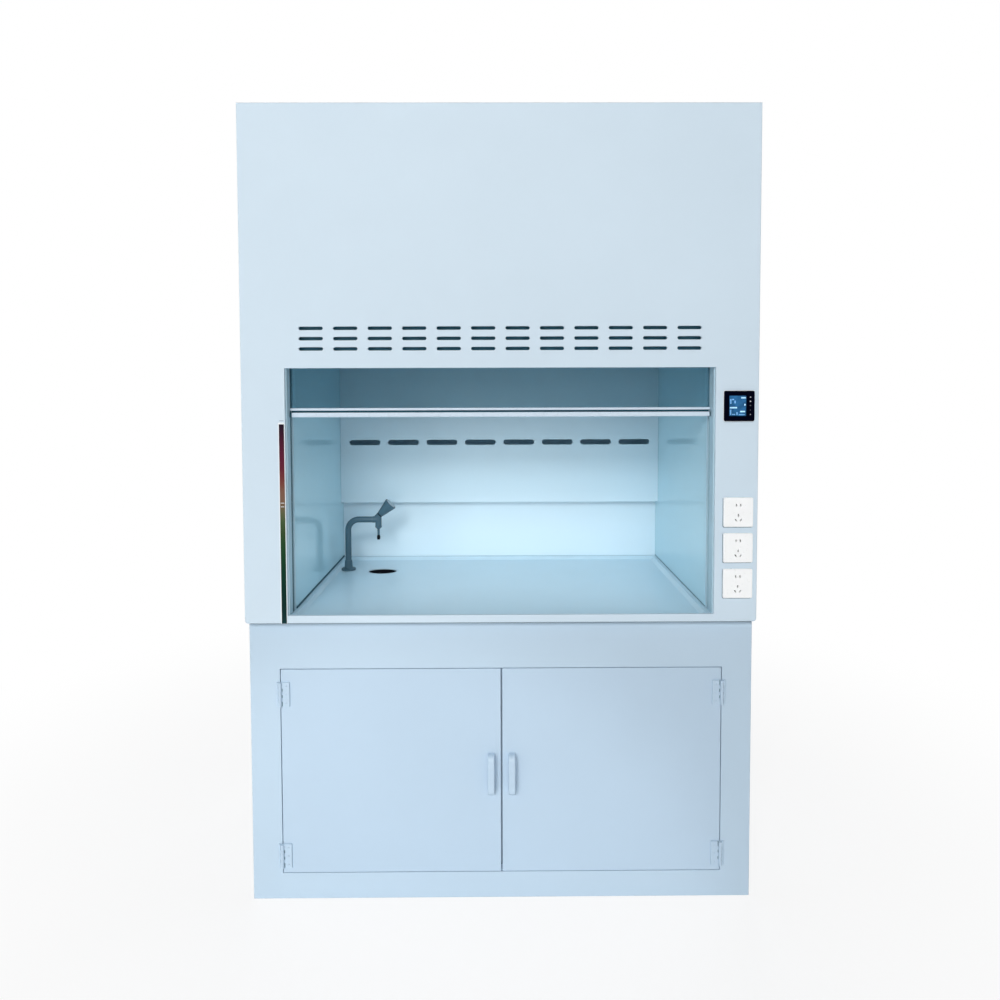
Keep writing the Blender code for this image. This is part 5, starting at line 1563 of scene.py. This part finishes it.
def build_spout():
    """The neck, the valve at its end, a black collar and the nozzle."""
    arm_end = SPOUT_X - 0.0225
    neck = round_path([(TAP_X, TAP_Y, 0.9004), (TAP_X, TAP_Y, TAP_ARM_Z),
                       (arm_end, TAP_Y, TAP_ARM_Z)], TAP_BEND, 24)
    mesh = boolean("part", "UNION", [
        tube(along(neck, 0.006), TAP_R, 48),
        tube([(TAP_X, TAP_Y, 0.885), (TAP_X, TAP_Y, 0.910)], 0.0070, 32)])
    add_mesh("tap_neck", mesh, "tap_grey_plastic", "tap_plastic", "faucet_gooseneck",
             "faucet_spout", 35)

    axis = (SPOUT_X, TAP_Y, 0)
    seat = KNOB_BASE - KNOB_DIR * 0.0004
    sleeve = lathe(fillet([(0.0002, 0.0), (0.0121, 0.0), (0.0121, 0.0130), (0.0114, 0.0250),
                           (0.0002, 0.0250)], [0, 0.0009, 0.004, 0, 0]), 48,
                   (arm_end + GAP, TAP_Y, TAP_ARM_Z), (1, 0, 0))
    barrel = lathe(fillet([(0.0002, 1.0285), (0.0116, 1.0285), (0.0116, 1.0610),
                           (0.0075, 1.0662), (0.0002, 1.0665)], [0, 0, 0.004, 0.003, 0], 5),
                   48, axis)
    nut = lathe([(0.0002, 1.0145), (0.0052, 1.0145), (0.0075, 1.0172), (0.0112, 1.0205),
                 (0.0122, 1.0222), (0.0122, 1.0272), (0.0112, 1.0290), (0.0002, 1.0290)], 6, axis)
    bonnet = lathe(fillet([(0.0002, -0.018), (0.0112, -0.018), (0.0114, -0.0048),
                           (0.0112, -0.0036), (0.0002, -0.0036)], [0, 0, 0.004, 0.0004, 0]),
                   48, seat, KNOB_DIR)
    mesh = boolean("part", "UNION", [barrel, sleeve, bonnet, nut])
    add_mesh("tap_valve", mesh, "tap_grey_plastic", "tap_plastic", "faucet_valve_body",
             "faucet_spout", 35)

    profile = fillet([(0.0030, -0.0035), (0.0108, -0.0035), (0.0108, -0.0001),
                      (0.0030, -0.0001)], [0, 0.0004, 0.0004, 0], 3)
    add_piece("tap_collar", lathe(profile, 56, seat, KNOB_DIR, around=True), "tap_black_rubber",
              "tap_black", body="faucet_spout")
    profile = fillet([(0.0025, 0.9880), (0.0042, 0.9880), (0.0044, 1.0142), (0.0025, 1.0142)],
                     [0, 0.0003, 0.0003, 0], 3)
    add_piece("tap_nozzle", lathe(profile, 40, axis, around=True), "tap_grey_plastic",
              "tap_plastic", body="faucet_spout")
    profile = fillet([(0.0025, 0.9757), (0.0046, 0.9755), (0.0060, 0.9800), (0.0060, 0.9870),
                      (0.0046, 0.9930), (0.0044, 0.9930), (0.0044, 0.9885), (0.0025, 0.9885)],
                     [0, 0.0018, 0.003, 0.003, 0.0002, 0, 0, 0])
    add_piece("tap_tip", lathe(profile, 40, axis, around=True), "tap_black_rubber", "tap_black",
              "faucet_nozzle", "faucet_spout")


def flutes(angle, r, height):
    """Finger flutes that fade out towards the knob's narrow end."""
    rise = min(1.0, max(0.0, (height - 0.006) / 0.020))
    fall = min(1.0, max(0.0, (KNOB_LENGTH - 0.0008 - height) / 0.003))
    return r - 0.0007 * rise * fall * (0.5 + 0.5 * cos(10 * angle)) ** 2 if r > 0.008 else r


def build_knob():
    profile = [(KNOB_R0 - 0.0012, 0.0), (KNOB_R0 - 0.0002, 0.0006), (KNOB_R0 + 0.0002, 0.0020)]
    profile += [(KNOB_R0 + (KNOB_R1 - KNOB_R0) * height / KNOB_LENGTH, height)
                for height in np.linspace(0.004, KNOB_LENGTH - 0.0040, 22)]
    # inward from the wide radius, down from the end
    profile += [(KNOB_R1 - inward, KNOB_LENGTH - down) for inward, down in (
        (0.0003, 0.0025), (0.0004, 0.0012), (0.0012, 0.0003), (0.0024, 0.0), (0.0050, 0.0001),
        (0.0056, 0.0010))]
    add_piece("tap_knob", lathe(profile, 120, KNOB_BASE, KNOB_DIR, wave=flutes),
              "tap_grey_plastic", "tap_plastic", "faucet_knob", "faucet_knob", sharp=50)
    # the lighter cap on the knob's wide end is painted light falling on the end face
    cap_r = KNOB_R1 - 0.0058
    profile = fillet([(0.0002, -0.0008), (cap_r, -0.0008), (cap_r, 0.0008), (0.0002, 0.0012)],
                     [0, 0, 0.0006, 0], 3)
    cap = lathe(profile, 72, KNOB_BASE + KNOB_DIR * (KNOB_LENGTH - 0.0001), KNOB_DIR)
    add_piece("tap_knob_cap", cap, "tap_cap_painted_light", "tap_plastic", body="faucet_knob")


build_tap_foot()
build_spout()
build_knob()

# ---------------------------------------------------------------- CAD nodes that keep their shape
for kept, look_name in {"chamber_ceiling": "pp_liner_gloss", "lamp_housing": "galvanised_spangle",
                        "left_pulley_beam": "beam_steel",
                        "right_pulley_beam": "beam_steel"}.items():
    kept_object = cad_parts[kept]
    if not kept_object.data.materials:
        kept_object.data.materials.append(MATERIALS[look_name])
    for material_slot in kept_object.material_slots:
        material_slot.material = MATERIALS[look_name]


# ---------------------------------------------------------------- stage
def floor_material():
    """Pale and diffuse; what the camera sees fades to white away from the hood."""
    material = bpy.data.materials.new("floor_pale")
    look = Nodes(material)
    position = look.node("ShaderNodeNewGeometry").outputs["Position"]
    distance = look.node("ShaderNodeVectorMath", position, settings={"operation": "LENGTH"})
    fade = look.remap(distance.outputs["Value"], (0.7, 2.8), (0.80, 1.0),
                      interpolation_type="SMOOTHSTEP")
    seen = look.node("ShaderNodeLightPath").outputs["Is Camera Ray"]
    diffuse = look.node("ShaderNodeBsdfDiffuse", Color=(0.92, 0.93, 0.94, 1))
    white = look.node("ShaderNodeEmission", Color=(1, 1, 1, 1), Strength=1.0)
    mix = look.node("ShaderNodeMixShader", look.math("MULTIPLY", fade, seen),
                    diffuse.outputs[0], white.outputs[0])
    look.node("ShaderNodeOutputMaterial", mix.outputs[0])
    return material


def build_floor():
    shape = bmesh.new()
    z = -0.0005
    centre = shape.verts.new((0, 0, z))
    rings = [flat_ring(shape, circle(0, 0, r, 64), "z", z)
             for r in (0.6, 1.2, 2.0, 3.0, 5.0, 9.0, 16.0)]
    for i in range(64):
        shape.faces.new([centre, rings[0][i], rings[0][(i + 1) % 64]])
    join_all(shape, rings)
    mesh = bpy.data.meshes.new("floor")
    shape.to_mesh(mesh)
    shape.free()
    floor = link_object("floor", mesh)
    mesh.materials.append(floor_material())


def build_world():
    """White to the camera, dim grey as a light."""
    world = bpy.data.worlds.new("studio")
    bpy.context.scene.world = world
    look = Nodes(world)
    seen = look.node("ShaderNodeBackground", Color=(1, 1, 1, 1))
    light = look.node("ShaderNodeBackground", Color=(0.10, 0.10, 0.10, 1))
    camera_ray = look.node("ShaderNodeLightPath").outputs["Is Camera Ray"]
    mix = look.node("ShaderNodeMixShader", camera_ray, light.outputs[0], seen.outputs[0])
    look.node("ShaderNodeOutputWorld", mix.outputs[0])


build_floor()
build_world()


# ---------------------------------------------------------------- lights
def around(target, azimuth, elevation, distance):
    """A place seen from the target at degrees right of the front and above the level."""
    a, e = radians(azimuth), radians(elevation)
    return Vector(target) + distance * Vector((sin(a) * cos(e), -cos(a) * cos(e), sin(e)))


def aim_light(name, data, where, target):
    obj = link_object(name, data)
    obj.location = where
    obj.rotation_mode = "QUATERNION"
    obj.rotation_quaternion = (Vector(target) - Vector(where)).to_track_quat("-Z", "Y")
    return obj


def area_light(name, where, target, size, watts, colour=(1, 1, 1), spread=180, glossy=True):
    data = bpy.data.lights.new(name, "AREA")
    data.shape = "RECTANGLE"
    data.size, data.size_y = size
    data.energy, data.color, data.spread = watts, colour, radians(spread)
    aim_light(name, data, where, target).visible_glossy = glossy


KEY_AIM, HOOD_AIM, LOW_AIM = (0.1, -0.4, 0.9), (0, -0.4, 1.1), (-0.62, -0.4, 0.45)
REAR_AIM, SIDE_CENTRE, DOOR_AIM = (0, 0.4, 1.2), (0, 0.0, 1.2), (-0.22, -0.4, 0.0)

area_light("light_key", around(KEY_AIM, azimuth=-16, elevation=26, distance=9), KEY_AIM,
           size=(2.6, 2.6), watts=230.0)
area_light("light_front_32", around(HOOD_AIM, azimuth=0, elevation=32, distance=11), HOOD_AIM,
           size=(6.0, 1.8), watts=345.0)
area_light("light_left_mid", around(HOOD_AIM, azimuth=-42, elevation=14, distance=4.8), HOOD_AIM,
           size=(1.5, 1.5), watts=17.0)
area_light("light_right_mid", around(HOOD_AIM, azimuth=42, elevation=14, distance=4.8), HOOD_AIM,
           size=(1.5, 1.5), watts=12.0)
area_light("light_left_low", around(LOW_AIM, azimuth=-30, elevation=4, distance=3.4), LOW_AIM,
           size=(0.8, 0.8), watts=1.0, spread=50)
area_light("light_opening", (0, -0.50, 1.10), (0, 0.3, 0.97), size=(1.10, 0.26), watts=0.82,
           spread=95, glossy=False)
area_light("light_rear", around(REAR_AIM, azimuth=170, elevation=25, distance=5.0), REAR_AIM,
           size=(3.0, 3.0), watts=120.0)
for side_name, side_sign, side_watts in (("left", -1, 30.0), ("right", 1, 25.0)):
    area_light("light_" + side_name + "_side",
               around(SIDE_CENTRE, azimuth=88 * side_sign, elevation=22, distance=4.6),
               (0.75 * side_sign, 0.0, 1.2), size=(2.4, 2.4), watts=side_watts)

door_spot = bpy.data.lights.new("light_doors", "SPOT")
door_spot.energy = 240.0
door_spot.spot_size = radians(17.5)
door_spot.spot_blend = 0.45
door_spot.shadow_soft_size = 0.13
aim_light("light_doors", door_spot, around(DOOR_AIM, azimuth=-20, elevation=20, distance=6.0),
          DOOR_AIM)
# a weak blue-green light behind the baffle
area_light("light_plenum", (0, 0.345, 1.80), (0, 0.40, 1.30), size=(1.10, 0.05), watts=0.15,
           colour=(0.45, 0.85, 1.0), spread=160, glossy=False)


# ---------------------------------------------------------------- camera
def build_camera():
    down, yaw, roll = radians(2.299), radians(0.338), radians(-0.163)
    vertical = Vector((0, 0, 1))
    ahead = Vector((sin(yaw), cos(yaw), 0))
    level_right = Vector((cos(yaw), -sin(yaw), 0))
    level_up = vertical * cos(down) + ahead * sin(down)
    look = ahead * cos(down) - vertical * sin(down)
    right = level_right * cos(roll) + level_up * sin(roll)
    up = level_up * cos(roll) - level_right * sin(roll)
    data = bpy.data.cameras.new("camera")
    camera = link_object("camera", data)
    turn = Matrix((right, up, -look)).transposed().to_4x4()
    camera.matrix_world = Matrix.Translation((-0.0129, -2.429, 1.5308)) @ turn
    data.sensor_width = 36.0
    data.lens = 24.9408
    data.shift_x, data.shift_y = -0.00027, -0.08185
    data.clip_start, data.clip_end = 0.05, 80.0
    scene = bpy.context.scene
    scene.camera = camera
    scene.view_settings.view_transform = "Standard"
    scene.view_settings.look = "None"


build_camera()
